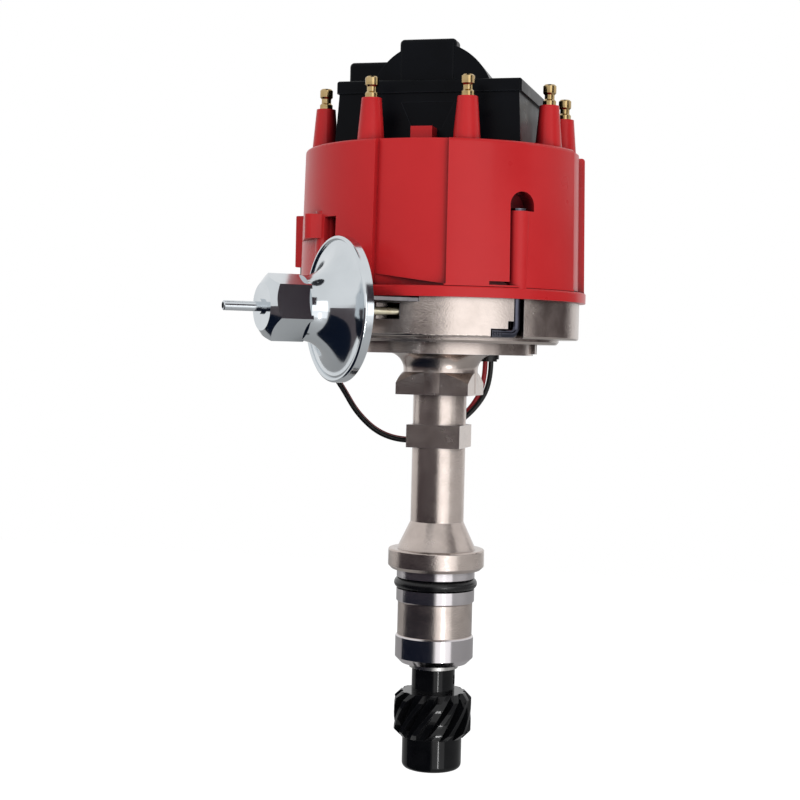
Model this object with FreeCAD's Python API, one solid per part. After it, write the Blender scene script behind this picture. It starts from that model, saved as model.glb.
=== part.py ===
import FreeCAD, Part
import math
import os

# Ignition distributor with the coil in its cap, in millimetres.
# The shaft axis is Z, z is 0 at the seat on the engine block, and the cap's
# mirror plane is the YZ plane with its front bay toward -Y.
# An angle called bearing is measured from -Y toward +X.

# Clearances
running_clearance = 0.03
body_gap = 0.3
terminal_gap = 0.9

# Shaft and drive end
shaft_radius = 6.2
shaft_bottom_z = -98.4
shaft_top_z = 139.6
pump_hex_width = 7.9
pump_hex_depth = 12.0
gear_hub_bottom_z = -100.2
gear_hub_radius = 14.9
gear_hub_round = 2.6
gear_bottom_z = -83.9
gear_top_z = -61.4
gear_tip_radius = 19.4
gear_root_radius = 15.3
gear_teeth = 13
gear_twist = 51.0
gear_sections = 8
gear_end_chamfer = 3.2
upper_hub_radius = 10.8
upper_hub_top_z = -49.5
gear_pin_radius = 2.4
gear_pin_z = -55.2
thrust_washer_radius = 12.2
thrust_washer_count = 2

# Housing below the seat
housing_bottom_z = -47.0
pilot_radius = 19.55
pilot_chamfer = 2.9
lower_land_top_z = -33.7
relief_radius = 18.7
upper_land_bottom_z = -15.8
o_ring_z = -7.0
o_ring_section_radius = 2.7
o_ring_outer_radius = 20.8
o_ring_groove_clearance = 0.2

# Housing from the seat to the cup
collar_radius = 24.0
collar_height = 10.2
collar_chamfer = 1.7
collar_round = 0.9
cone_base_radius = 19.7
neck_radius = 13.3
cone_top_z = 23.8
lower_boss_side = 27.0
lower_boss_bottom_z = 60.9
lower_boss_top_z = 72.2
upper_boss_side = 36.4
upper_boss_bottom_z = 87.1
upper_boss_shoulder_z = 92.8
flare_bottom_radius = 18.6
flare_bottom_z = 98.2
flare_top_radius = 24.6
lower_disc_radius = 45.8
lower_disc_bottom_z = 107.4
lower_disc_top_z = 112.9
step_disc_radius = 58.3
step_disc_round = 1.2
cup_radius = 68.0
cup_bottom_z = 115.4
cup_bottom_round = 1.0
cup_wall = 4.5
cup_floor_z = 119.0
cup_rim_z = 133.6
housing_bore_clearance = 1.0
lug_reach = 1.8
lug_bearing = 100.0

# Bushings and the hub in the cup
bushing_wall = 2.4
bushing_length = 27.0
hub_shoulder_radius = 13.6
hub_shoulder_z = 121.2
hub_radius = 11.8
hub_top_z = 127.0

# Pickup
pickup_plate_thickness = 1.2
pickup_radius = 34.0
magnet_inner_radius = 24.2
magnet_outer_radius = 33.0
magnet_height = 4.9
coil_bobbin_inner_radius = 18.5
coil_bobbin_outer_radius = 23.6
pole_thickness = 1.6
pole_teeth = 8
pole_inner_radius = 18.2
tooth_width = 3.2
air_gap = 0.7
pole_screw_radius = 1.5
pole_screw_circle = 28.6
retainer_radius = 14.6
retainer_thickness = 0.8

# Advance
tube_wall = 2.3
core_radius = 14.6
core_thickness = 3.6
core_clearance = 0.8
weight_plate_z = 133.2
weight_plate_thickness = 1.6
weight_plate_radius = 33.5
weight_thickness = 4.0
weight_pin_radius = 2.5
weight_pin_circle = 25.0
weight_pin_top_z = 141.2
weight_inner_radius = 17.0
weight_outer_radius = 31.0
weight_tail_angle = 60.0
weight_toe_radius = 11.2
weight_toe_width = 6.4
cam_half_length = 9.4
cam_half_width = 6.9
cam_post_radius = 1.2
advance_spring_wire = 0.3
advance_spring_radius = 0.95

# Rotor
rotor_base_radius = 30.0
rotor_base_z = 142.4
rotor_base_thickness = 4.2
rotor_tower_radius = 13.0
rotor_arm_z = 163.0
rotor_arm_thickness = 4.0
rotor_arm_width = 17.0
rotor_arm_reach = 49.0
rotor_tail_reach = 24.0
rotor_leg_radius = 4.6
rotor_leg_circle = 26.6
rotor_screw_radius = 1.9
rotor_screw_head_radius = 3.5
rotor_screw_head = 2.2
blade_width = 6.0
blade_thickness = 1.5
blade_inset = 6.6

# Electronics in the cup
module_length = 34.0
module_width = 18.0
module_height = 7.0
module_x = -7.0
module_inner_y = 38.6
module_screw_radius = 1.8
capacitor_radius = 6.6
capacitor_length = 24.0
capacitor_x = -49.5

# Vacuum advance, placed by its own axis
pull_bearing = -48.6
pull_reach = 46.0
pull_z = 126.5
rod_radius = 1.85
rod_eye_width = 9.0
rod_eye_thickness = 1.8
drive_pin_radius = 1.9
can_stand = 6.0
can_radius = 33.1
can_wall = 1.2
can_depth = 4.0
can_back_radius = 24.0
hem_width = 2.1
hem_depth = 3.8
hem_bead_rise = 0.7
hem_groove_width = 0.9
hem_groove_depth = 0.2
diaphragm_thickness = 0.8
diaphragm_hole_radius = 13.4
diaphragm_cup_radius = 13.0
flare_neck_radius = 14.6
flare_length = 18.5
cup_hex_width = 26.6
cup_hex_turn = 40.0
cup_front_length = 36.5
cup_front_radius = 10.6
cup_front_slope = 4.6
cup_bore_radius = 11.6
nipple_radius = 2.2
nipple_bore_radius = 1.4
nipple_length = 18.1
nipple_edge = 0.35
can_spring_radius = 8.2
can_spring_wire = 0.7
can_spring_turns = 5
slot_low = -6.5
slot_high = 2.4
slot_bottom_z = 122.9
slot_top_z = 130.4
strap_low = -6.0
strap_high = 8.0
strap_z = 131.2
strap_thickness = 1.6
strap_foot_low = -11.0
strap_foot_depth = 12.0
strap_foot_out = 28.0
strap_boss_radius = 2.6
strap_screws = ((4.9, 32.5), (-7.6, 35.0))
strap_screw_radius = 1.3

# Cap
lip_overhang = 3.0
lip_height = 5.0
lip_round = 0.8
lip_ledge = 0.4
column_draft = 1.3
cap_wall_bottom = 7.4
cap_wall_top = 7.1
panel_depth = 3.4
panel_draft = 1.2
panel_half_angle = 14.5
panel_bottom_z = 139.4
panel_sill_rise = 4.4
deck_z = 206.0
deck_thickness = 4.2
deck_round = 1.6
register_height = 2.4
register_wall = 2.2
tower_count = 8
tower_first_bearing = 22.5
tower_inset = 9.3
tower_base_radius = 6.6
tower_top_radius = 4.7
tower_top_z = 226.0
tower_rib_radius = 4.6
tower_rib_bottom_z = 174.6
terminal_radius = 3.15
terminal_waist_radius = 2.35
terminal_top_z = 236.0
terminal_base = 4.5
terminal_base_radius = 2.9
contact_rod_radius = 2.1
contact_bottom_z = 166.0
contact_foot_height = 7.4
contact_foot_width = 5.0
button_radius = 3.0
button_length = 8.0
button_socket_wall = 2.6
button_socket_bottom_z = 172.5
button_spring_wire = 0.4
tab_width = 10.4
tab_height = 7.6
tab_depth = 9.8

# Latches: an L-shaped rod in a post of the cap, its foot under the cup's wall
latch_bearings = (45.0, -45.0, 135.0, -135.0)
latch_names = ("front_right", "front_left", "rear_right", "rear_left")
latch_inset = 3.0
latch_rod_radius = 2.4
latch_bend_radius = 3.4
latch_post_radius = 5.8
latch_post_top_z = 174.0
latch_bore_bottom_z = 150.0
latch_bore_radius = 4.5
latch_head_radius = 4.2
latch_head_bottom_z = 171.6
latch_head_height = 3.6
latch_washer_thickness = 1.0
latch_foot_z = 117.4
latch_foot_height = 3.5
latch_foot_length = 13.8
latch_foot_ridges = 4
latch_spring_wire = 0.45
latch_spring_turns = 6
latch_recess_side = 7.2
latch_recess_depth = 4.5
latch_recess_bottom_z = 140.6
latch_recess_top_z = 182.3
latch_access_radius = 3.0
foot_slot_length = 10.0
foot_slot_inset = 1.0
foot_slot_low_z = 139.5
foot_slot_high_z = 141.2
boxed_latch = "front_left"
boxed_recess_low = 5.5
boxed_recess_high = 14.5
boxed_recess_top_z = 171.0
boxed_head_room = 0.9
latch_pad_depth = 7.4

# Coil, its core and its cover
well_room = 0.6
well_floor_z = 190.0
well_wall = 3.0
core_front_y = -35.5
core_back_y = 33.5
core_bottom_z = 217.0
core_height = 13.6
core_side_leg = 11.5
core_end_leg = 8.0
core_centre_leg = 16.0
coil_side_room = 4.0
coil_axis_z = 224.0
coil_screw_radius = 2.0
coil_screw_inset = 5.6
coil_boss_radius = 5.0
cover_wall = 2.2
cover_tower_room = 3.6
cover_side_room = 3.8
cover_end_room = 3.3
cover_rim_overhang = 1.2
cover_rim_z = 231.0
cover_rim_height = 6.0
cover_flare = 1.4
bulge_coil_room = 6.5
bulge_taper = 3.0
bulge_lift = 1.0
bulge_front_y = -33.0
bulge_back_y = 33.0
crown_low_x = -16.0
crown_high_x = 11.8
crown_front_y = -33.6
crown_back_y = -23.0
crown_rise = 1.5
side_block_high_x = -20.0
side_block_front_y = -20.0
side_block_back_y = 35.0
side_block_top_z = 249.6
front_recess_depth = 0.7
front_recess_top_half = 13.0
front_recess_bottom_half = 7.0
front_recess_low_z = 213.5
front_recess_high_z = 226.5

# Connector hood, its plug and the free harness
hood_bearing = -98.0
hood_reach = 7.8
hood_half_width = 8.6
hood_bottom_z = 150.0
hood_top_z = 176.2
hood_wall = 2.0
hood_depth = 8.2
plug_bottom_z = 146.0
plug_top_z = 167.0
blade_count = 3
blade_pitch = 3.8
blade_bottom_z = 160.0
blade_size = (2.6, 0.8)
side_box_bearing = -70.3
side_box_inset = 0.6
side_box_front = 32.5
side_box_back = -20.0
side_box_skirt_front = 4.0
side_box_low_z = 161.0
side_box_top_z = 172.5
side_box_round = 3.0
wire_radius = 1.3
grommet_radius = 4.6
grommet_flange = 1.6
harness_turn = 13.4
# Middle line of each wire as (across, back, up), in a frame turned by harness_turn
black_route = (
    (26.0, 29.0, 104.0),
    (26.0, 29.0, 92.5),
    (18.9, 29.2, 79.5),
    (5.3, 28.0, 68.2),
    (-11.8, 25.4, 61.5),
    (-29.4, 24.0, 64.2),
    (-42.4, 24.4, 75.2),
    (-50.8, 26.8, 89.2),
    (-59.4, 30.4, 100.5),
    (-67.0, 32.1, 113.2),
    (-71.8, 27.2, 125.0),
    (-69.9, 25.8, 136.5),
    (-69.9, 25.8, 146.0),
)
red_route = (
    (23.0, 29.0, 104.0),
    (23.0, 29.0, 93.5),
    (16.7, 29.2, 81.5),
    (3.7, 28.0, 70.8),
    (-12.2, 25.4, 64.5),
    (-28.2, 24.0, 67.0),
    (-40.2, 24.4, 77.2),
    (-48.4, 26.8, 90.8),
    (-57.6, 31.8, 102.4),
    (-65.8, 34.9, 113.6),
    (-70.6, 30.0, 125.0),
    (-68.9, 28.6, 136.5),
    (-68.9, 28.6, 146.0),
)

# Small sizes of the pieces above
gear_pin_inset = 0.8
gear_pin_wall = 0.9
pump_mouth_radius = 5.4
lug_wide_half = 4.6
lug_narrow_half = 1.4
lug_root = 7.0
lug_lift = 0.8
lug_step = 9.5
plate_fit = 0.05
drive_pin_rise = 3.4
bobbin_groove = 1.2
bobbin_flange = 0.8
core_tooth_height = 3.2
cam_hub_wall = 1.5
cam_bar_half = 2.8
cam_post_rise = 2.4
weight_arc_steps = 6
weight_head_angle = 14.0
spring_lift = 1.6
spring_ring_wall = 0.7
module_screw_bite = 3.0
strap_screw_bite = 7.0
strap_screw_head = 2.3
strap_back_drop = 9.0
capacitor_foot = 1.4
cup_front_wall = 2.0
nipple_collar = 1.2
nipple_collar_radius = 3.4
eye_slot_play = 0.6
pad_wall = 2.4
pad_roof = 2.0
latch_notch_room = 0.45
latch_pad_drop = 2.8
panel_groove = 0.9
panel_sill_depth = 6.0
tab_gap = 0.4
terminal_dimple = 1.5
contact_shift = 2.2
button_spring_turns = 5
foot_ridge_width = 0.7
foot_ridge_depth = 0.5
washer_fit = 0.05
latch_spring_radius = 3.5
coil_screw_bite = 9.0
cover_rim_round = 1.2
cover_block_round = 2.2
latch_sides = (-1, 1, 1, -1)

V = FreeCAD.Vector
UP = V(0, 0, 1)


def cylinder(radius, low, high, x=0.0, y=0.0):
    return Part.makeCylinder(radius, high - low, V(x, y, low))


def ring(inner, outer, low, high, x=0.0, y=0.0):
    return cylinder(outer, low, high, x, y).cut(cylinder(inner, low - 1, high + 1, x, y))


def block(x_low, x_high, y_low, y_high, z_low, z_high):
    return Part.makeBox(x_high - x_low, y_high - y_low, z_high - z_low, V(x_low, y_low, z_low))


def plate(points, low, high):
    corners = [V(x, y, low) for x, y in points]
    face = Part.Face(Part.makePolygon(corners + corners[:1]))
    return face.extrude(V(0, 0, high - low))


def turned(points):
    # Solid of revolution of an (r, z) outline; four numbers are an arc: via point, then end point
    edges = []
    start = points[0]
    for point in points[1:] + points[:1]:
        end = point[-2:]
        first = V(start[-2], 0, start[-1])
        last = V(end[0], 0, end[1])
        if len(point) == 4:
            edges.append(Part.Arc(first, V(point[0], 0, point[1]), last).toShape())
        elif first.distanceToPoint(last) > 1e-6:
            edges.append(Part.LineSegment(first, last).toShape())
        start = point
    return Part.Face(Part.Wire(edges)).revolve(V(), UP, 360)


def at_bearing(shape, bearing):
    # A shape modelled at the front (-Y) is carried round the shaft to its bearing
    copy = shape.copy()
    copy.rotate(V(), UP, bearing)
    return copy


def joined(shapes):
    first, rest = shapes[0], list(shapes[1:])
    return first.fuse(rest).removeSplitter() if rest else first


def without(shape, tools):
    return shape.cut(list(tools)).removeSplitter()


def group(shapes):
    return Part.makeCompound(list(shapes))


def hexagon(width, low, high, turn=0.0):
    corner = width / math.sqrt(3)
    angles = [math.radians(turn + 60 * i) for i in range(6)]
    return plate([(corner * math.cos(a), corner * math.sin(a)) for a in angles], low, high)


def coil_spring(radius, wire, low, high, turns, x=0.0, y=0.0):
    height = high - low - 2 * wire
    path = Part.makeHelix(height / turns, height, radius)
    section = Part.Wire(Part.makeCircle(wire, V(radius, 0, 0), V(0, 1, 0)))
    spring = Part.Wire(path.Edges).makePipeShell([section], True, True)
    spring.translate(V(x, y, low + wire))
    return spring


def placed(shape, placement):
    copy = shape.copy()
    copy.Placement = placement.multiply(copy.Placement)
    return copy


def on_pull_axis(shape):
    # Local x points away from the shaft, y up and z outward along the vacuum can's axis
    angle = math.radians(pull_bearing)
    out = V(math.sin(angle), -math.cos(angle), 0)
    side = V(math.cos(angle), math.sin(angle), 0)
    origin = side * pull_reach + UP * pull_z
    frame = FreeCAD.Matrix(side.x, 0, out.x, origin.x,
                           side.y, 0, out.y, origin.y,
                           0, 1, 0, origin.z,
                           0, 0, 0, 1)
    return placed(shape, FreeCAD.Placement(frame))


def wedge(half_angle, reach, low, high):
    # Sector open toward -Y, from the shaft axis outward
    edge = math.radians(half_angle)
    side = reach / math.cos(edge)
    return plate([(0, 0), (-side * math.sin(edge), -reach), (side * math.sin(edge), -reach)], low, high)


def screw(shank_radius, head_radius, tip_z, seat_z, head_height, x, y):
    body = cylinder(shank_radius, tip_z, seat_z, x, y)
    head = cylinder(head_radius, seat_z, seat_z + head_height, x, y)
    slot = block(x - head_radius, x + head_radius, y - 0.4, y + 0.4,
                 seat_z + 0.6 * head_height, seat_z + head_height + 1)
    return body.fuse(head).removeSplitter().cut(slot)


def pull_point(side_offset, out):
    angle = math.radians(pull_bearing)
    reach = pull_reach + side_offset
    return V(reach * math.cos(angle) + out * math.sin(angle),
             reach * math.sin(angle) - out * math.cos(angle), 0)


def harness_point(across, back, up):
    turn = math.radians(harness_turn)
    return V(across * math.cos(turn) - back * math.sin(turn),
             across * math.sin(turn) + back * math.cos(turn), up)


# Values worked out from the ones above
shaft_bore_radius = shaft_radius + running_clearance
bushing_radius = shaft_bore_radius + bushing_wall
housing_bore_radius = shaft_radius + housing_bore_clearance
cup_inner_radius = cup_radius - cup_wall
pickup_plate_z = hub_shoulder_z + body_gap
magnet_z = pickup_plate_z + pickup_plate_thickness
pole_z = magnet_z + magnet_height
core_z = hub_top_z + core_clearance
tube_radius = shaft_bore_radius + tube_wall
weight_top_plate_z = weight_plate_z + weight_plate_thickness
weight_z = weight_top_plate_z + body_gap + 0.1
rotor_blade_z = rotor_arm_z + rotor_arm_thickness
button_bottom_z = rotor_blade_z + blade_thickness + body_gap
cap_bottom_z = cup_rim_z
lip_top_z = cap_bottom_z + lip_height
lip_radius = cup_radius + lip_overhang
column_radius_bottom = lip_radius - lip_ledge
column_radius_top = column_radius_bottom - column_draft
cap_wall_inner_bottom = column_radius_bottom - cap_wall_bottom
cap_wall_inner_top = column_radius_top - cap_wall_top
tower_circle = column_radius_top - tower_inset
blade_reach = tower_circle - blade_inset
latch_circle = cup_radius - latch_inset
latch_recess_floor = latch_circle - latch_recess_depth
latch_pad_inner = latch_circle - latch_pad_depth
hood_outer_radius = column_radius_bottom + hood_reach
hood_cavity_inner = hood_outer_radius - hood_depth
rod_y = -latch_circle
foot_slot_floor = latch_circle + foot_slot_inset
panel_sill_floor = column_radius_bottom - panel_sill_depth
can_back_out = cup_radius + can_stand
can_rim_out = can_back_out + can_depth
cup_front_out = can_rim_out + cup_front_length
nipple_tip_out = cup_front_out + nipple_length
tower_side = tower_circle * math.cos(math.radians(tower_first_bearing))
cover_half_width = tower_side - tower_base_radius - cover_tower_room - cover_flare
core_half_width = cover_half_width - cover_side_room
well_half_width = core_half_width + well_room
well_front_y = core_front_y - well_room
well_back_y = core_back_y + well_room
cover_front_y = core_front_y - cover_end_room
cover_back_y = core_back_y + cover_end_room
coil_radius = core_half_width - core_side_leg - coil_side_room
bulge_radius = coil_radius + bulge_coil_room
bulge_back_radius = bulge_radius - bulge_taper
bulge_axis_z = coil_axis_z + bulge_lift
crown_top_z = bulge_axis_z + bulge_radius + crown_rise
side_block_low_x = -cover_half_width - cover_rim_overhang
pull_side_bearing = pull_bearing + 90
harness_exit_z = black_route[0][2]
latch_groove_radius = latch_rod_radius + body_gap + 0.1
latch_notch_top_z = latch_foot_z + latch_foot_height / 2 + latch_notch_room
latch_pad_top_z = cup_rim_z - latch_pad_drop
module_screw_tip_z = cup_floor_z - module_screw_bite
module_screw_y = module_inner_y + module_width / 2
module_screw_places = (
    (module_x - module_length / 2 + 3.4, module_screw_y),
    (module_x + module_length / 2 - 3.4, module_screw_y),
    (capacitor_x, capacitor_length / 2 + 4.0),
)
strap_screw_tip_z = strap_z - strap_screw_bite


def grommet_centre():
    return (harness_point(*black_route[0]) + harness_point(*red_route[0])) * 0.5


def make_bushings():
    low = housing_bottom_z
    lower = ring(shaft_bore_radius, bushing_radius, low, low + bushing_length)
    upper = ring(shaft_bore_radius, bushing_radius, hub_top_z - bushing_length, hub_top_z)
    return lower, upper


def make_o_ring():
    centre = o_ring_outer_radius - o_ring_section_radius
    return Part.makeTorus(centre, o_ring_section_radius, V(0, 0, o_ring_z))


def housing_body():
    groove_half = o_ring_section_radius + o_ring_groove_clearance
    groove_floor = o_ring_outer_radius - 2 * o_ring_section_radius
    land_step = pilot_radius - relief_radius
    edge = collar_round * (1 - math.sqrt(0.5))
    low_edge = cup_bottom_round * (1 - math.sqrt(0.5))
    flare_mid_radius = flare_bottom_radius + 0.3 * (flare_top_radius - flare_bottom_radius)
    flare_mid_z = flare_bottom_z + 0.7 * (lower_disc_bottom_z - flare_bottom_z)
    return turned([
        (housing_bore_radius, housing_bottom_z + bushing_length),
        (bushing_radius, housing_bottom_z + bushing_length),
        (bushing_radius, housing_bottom_z),
        (pilot_radius - pilot_chamfer, housing_bottom_z),
        (pilot_radius, housing_bottom_z + pilot_chamfer),
        (pilot_radius, lower_land_top_z),
        (relief_radius, lower_land_top_z + land_step),
        (relief_radius, upper_land_bottom_z - land_step),
        (pilot_radius, upper_land_bottom_z),
        (pilot_radius, o_ring_z - groove_half),
        (groove_floor, o_ring_z - groove_half),
        (groove_floor, o_ring_z + groove_half),
        (pilot_radius, o_ring_z + groove_half),
        (pilot_radius, 0),
        (collar_radius - collar_chamfer, 0),
        (collar_radius, collar_chamfer),
        (collar_radius, collar_height - collar_round),
        (collar_radius - edge, collar_height - edge, collar_radius - collar_round, collar_height),
        (cone_base_radius, collar_height),
        (neck_radius, cone_top_z),
        (neck_radius, upper_boss_bottom_z + 1),
        (flare_bottom_radius, upper_boss_bottom_z + 1),
        (flare_bottom_radius, flare_bottom_z),
        (flare_mid_radius, flare_mid_z, flare_top_radius, lower_disc_bottom_z),
        (lower_disc_radius, lower_disc_bottom_z),
        (lower_disc_radius, lower_disc_top_z),
        (step_disc_radius - step_disc_round, lower_disc_top_z),
        (step_disc_radius, lower_disc_top_z + step_disc_round),
        (step_disc_radius, cup_bottom_z),
        (cup_radius - cup_bottom_round, cup_bottom_z),
        (cup_radius - low_edge, cup_bottom_z + low_edge, cup_radius, cup_bottom_z + cup_bottom_round),
        (cup_radius, cup_rim_z),
        (cup_inner_radius, cup_rim_z),
        (cup_inner_radius, cup_floor_z),
        (hub_shoulder_radius, cup_floor_z),
        (hub_shoulder_radius, hub_shoulder_z),
        (hub_radius, hub_shoulder_z),
        (hub_radius, hub_top_z),
        (bushing_radius, hub_top_z),
        (bushing_radius, hub_top_z - bushing_length),
        (housing_bore_radius, hub_top_z - bushing_length),
    ])


def square_bosses():
    half = lower_boss_side / 2
    lower = block(-half, half, -half, half, lower_boss_bottom_z, lower_boss_top_z)
    half = upper_boss_side / 2
    corner = half * math.sqrt(2)
    shoulder = turned([(0, upper_boss_bottom_z), (corner, upper_boss_bottom_z),
                       (corner, upper_boss_shoulder_z), (flare_bottom_radius, flare_bottom_z),
                       (0, flare_bottom_z)])
    upper = block(-half, half, -half, half, upper_boss_bottom_z, flare_bottom_z).common(shoulder)
    bore = cylinder(bushing_radius, lower_boss_bottom_z - 1, flare_bottom_z + 1)
    return [lower.cut(bore), upper.cut(bore)]


def disc_lugs():
    reach = lower_disc_radius + lug_reach
    wide = block(-lug_wide_half, lug_wide_half, -reach, -lower_disc_radius + lug_root,
                 lower_disc_bottom_z + lug_lift, lower_disc_top_z)
    narrow = block(-lug_narrow_half, lug_narrow_half, -reach, -lower_disc_radius + lug_root,
                   lower_disc_bottom_z + lug_lift, lower_disc_top_z)
    return [at_bearing(wide, lug_bearing), at_bearing(narrow, lug_bearing - lug_step)]


def at_latch(shape, index):
    # Modelled at the front with the foot toward +X, then mirrored where the foot points back
    side = latch_sides[index]
    copy = shape if side > 0 else shape.mirror(V(), V(1, 0, 0))
    return at_bearing(copy, latch_bearings[index])


def latch_pad():
    post = cylinder(latch_groove_radius + pad_wall, cup_floor_z - 0.5, latch_pad_top_z, 0, rod_y)
    roof = block(-latch_post_radius, latch_foot_length + pad_wall, rod_y - 1, -latch_pad_inner,
                 cup_floor_z - 0.5, latch_notch_top_z + pad_roof)
    return joined([post, roof]).common(cylinder(cup_radius - 0.5 * cup_wall, cup_bottom_z, cup_rim_z))


def latch_cut():
    low = cup_bottom_z - 2
    outside = -(cup_radius + latch_rod_radius)
    groove = cylinder(latch_groove_radius, low, cup_rim_z + 1, 0, rod_y)
    gate = block(-latch_groove_radius, latch_groove_radius, outside, rod_y, low, cup_rim_z + 1)
    bend = block(0, latch_rod_radius + latch_bend_radius, outside, rod_y + latch_groove_radius,
                 low, latch_foot_z + latch_rod_radius + latch_bend_radius)
    notch = block(-latch_groove_radius, latch_foot_length + 2 * body_gap, outside,
                  rod_y + latch_groove_radius, low, latch_notch_top_z)
    return joined([groove, gate, bend, notch])


def strap_bosses():
    bosses = []
    for side_offset, out in strap_screws:
        centre = pull_point(side_offset, out)
        bosses.append(cylinder(strap_boss_radius, cup_floor_z - 0.5, strap_z, centre.x, centre.y))
    return [boss.common(cylinder(cup_radius - 1, cup_bottom_z, cup_rim_z)) for boss in bosses]


def pull_openings():
    # Slot for the rod and, above it, the notch that the strap lies in
    outside = can_back_out - 10
    slot = block(slot_low, slot_high, slot_bottom_z - pull_z, slot_top_z - pull_z, strap_foot_out, outside)
    notch = block(strap_low - body_gap, strap_high + body_gap, strap_z - pull_z,
                  cup_rim_z - pull_z + 1, strap_foot_out, outside)
    return [on_pull_axis(slot), on_pull_axis(notch)]


def screw_holes():
    holes = []
    for x, y in module_screw_places:
        holes.append(cylinder(module_screw_radius, module_screw_tip_z, cup_floor_z + 1, x, y))
    for side_offset, out in strap_screws:
        centre = pull_point(side_offset, out)
        holes.append(cylinder(strap_screw_radius, strap_screw_tip_z, strap_z + 1, centre.x, centre.y))
    return holes


def make_housing():
    solids = [housing_body()] + square_bosses() + disc_lugs() + strap_bosses()
    solids += [at_latch(latch_pad(), i) for i in range(len(latch_bearings))]
    body = joined(solids)
    grommet = grommet_centre()
    tools = [cylinder(grommet_radius, lower_disc_bottom_z - 1, cup_floor_z + 1, grommet.x, grommet.y)]
    tools += pull_openings() + screw_holes()
    tools += [at_latch(latch_cut(), i) for i in range(len(latch_bearings))]
    return without(body, tools)


def make_shaft():
    shaft = cylinder(shaft_radius, shaft_bottom_z, shaft_top_z)
    socket = hexagon(pump_hex_width, shaft_bottom_z - 1, shaft_bottom_z + pump_hex_depth)
    return without(shaft, [socket, gear_pin_hole()])


def gear_pin_hole():
    reach = upper_hub_radius + 1
    return Part.makeCylinder(gear_pin_radius, 2 * reach, V(-reach, 0, gear_pin_z), V(1, 0, 0))


def make_gear_pin():
    reach = upper_hub_radius - gear_pin_inset
    pin = Part.makeCylinder(gear_pin_radius, 2 * reach, V(-reach, 0, gear_pin_z), V(1, 0, 0))
    bore = Part.makeCylinder(gear_pin_radius - gear_pin_wall, 2 * reach + 2,
                             V(-reach - 1, 0, gear_pin_z), V(1, 0, 0))
    return pin.cut(bore)


def gear_section(height, turn):
    # Each tooth has a root point, two flank points at the tip and a root point
    pitch = 2 * math.pi / gear_teeth
    shares = ((gear_root_radius, -0.27), (gear_tip_radius, -0.13),
              (gear_tip_radius, 0.13), (gear_root_radius, 0.27))
    points = []
    for tooth in range(gear_teeth):
        for radius, share in shares:
            angle = (tooth + share) * pitch + math.radians(turn)
            points.append(V(radius * math.cos(angle), radius * math.sin(angle), height))
    return Part.makePolygon(points + points[:1])


def make_drive_gear():
    height = gear_top_z - gear_bottom_z
    sections = []
    for i in range(gear_sections + 1):
        share = i / gear_sections
        sections.append(gear_section(gear_bottom_z + share * height, share * gear_twist))
    teeth = Part.makeLoft(sections, True, True)
    envelope = turned([(0, gear_bottom_z), (gear_tip_radius - gear_end_chamfer, gear_bottom_z),
                       (gear_tip_radius, gear_bottom_z + gear_end_chamfer),
                       (gear_tip_radius, gear_top_z - gear_end_chamfer),
                       (gear_tip_radius - gear_end_chamfer, gear_top_z), (0, gear_top_z)])
    edge = gear_hub_round * (1 - math.sqrt(0.5))
    lower_hub = turned([(0, gear_hub_bottom_z), (gear_hub_radius - gear_hub_round, gear_hub_bottom_z),
                        (gear_hub_radius - edge, gear_hub_bottom_z + edge,
                         gear_hub_radius, gear_hub_bottom_z + gear_hub_round),
                        (gear_hub_radius, gear_bottom_z), (0, gear_bottom_z)])
    upper_hub = cylinder(upper_hub_radius, gear_top_z, upper_hub_top_z)
    body = joined([teeth.common(envelope), lower_hub, upper_hub])
    bore = cylinder(shaft_radius, shaft_bottom_z, upper_hub_top_z + 1)
    mouth = cylinder(pump_mouth_radius, gear_hub_bottom_z - 1, shaft_bottom_z)
    return without(body, [bore, mouth, gear_pin_hole()])


def make_thrust_washers():
    low = upper_hub_top_z
    thickness = (housing_bottom_z - body_gap - low) / thrust_washer_count
    return group([ring(shaft_radius, thrust_washer_radius, low + i * thickness, low + (i + 1) * thickness)
                  for i in range(thrust_washer_count)])


def pole_screw_places():
    angles = [math.radians(90 + 120 * i) for i in range(3)]
    return [(pole_screw_circle * math.cos(a), pole_screw_circle * math.sin(a)) for a in angles]


def make_pickup():
    top = magnet_z
    disc = ring(hub_radius + plate_fit, pickup_radius, pickup_plate_z, top)
    arm = at_bearing(block(-rod_eye_width / 2, rod_eye_width / 2, -pull_reach - drive_pin_radius - 1,
                           -pickup_radius + 2, pickup_plate_z, top), pull_side_bearing)
    post = at_bearing(cylinder(drive_pin_radius, pickup_plate_z, pull_z + drive_pin_rise, 0, -pull_reach),
                      pull_side_bearing)
    holes = [cylinder(pole_screw_radius, pickup_plate_z - 1, pole_z + pole_thickness + 1, x, y)
             for x, y in pole_screw_places()]
    base = without(joined([disc, arm, post]), holes)
    magnet = without(ring(magnet_inner_radius, magnet_outer_radius, magnet_z, pole_z), holes)
    coil = ring(coil_bobbin_inner_radius, coil_bobbin_outer_radius, magnet_z, pole_z)
    winding = ring(coil_bobbin_outer_radius - bobbin_groove, coil_bobbin_outer_radius + 1,
                   magnet_z + bobbin_flange, pole_z - bobbin_flange)
    coil = coil.cut(winding)
    teeth = [at_bearing(block(-tooth_width / 2, tooth_width / 2, -pole_inner_radius - 1,
                              -core_radius - air_gap, pole_z, pole_z + pole_thickness), 360 * i / pole_teeth)
             for i in range(pole_teeth)]
    poles = joined([ring(pole_inner_radius, pickup_radius, pole_z, pole_z + pole_thickness)] + teeth)
    poles = without(poles, holes)
    seat = pole_z + pole_thickness
    screws = group([screw(pole_screw_radius, 1.8 * pole_screw_radius, pickup_plate_z, seat, 1.4, x, y)
                    for x, y in pole_screw_places()])
    return base, magnet, coil, poles, screws


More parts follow.
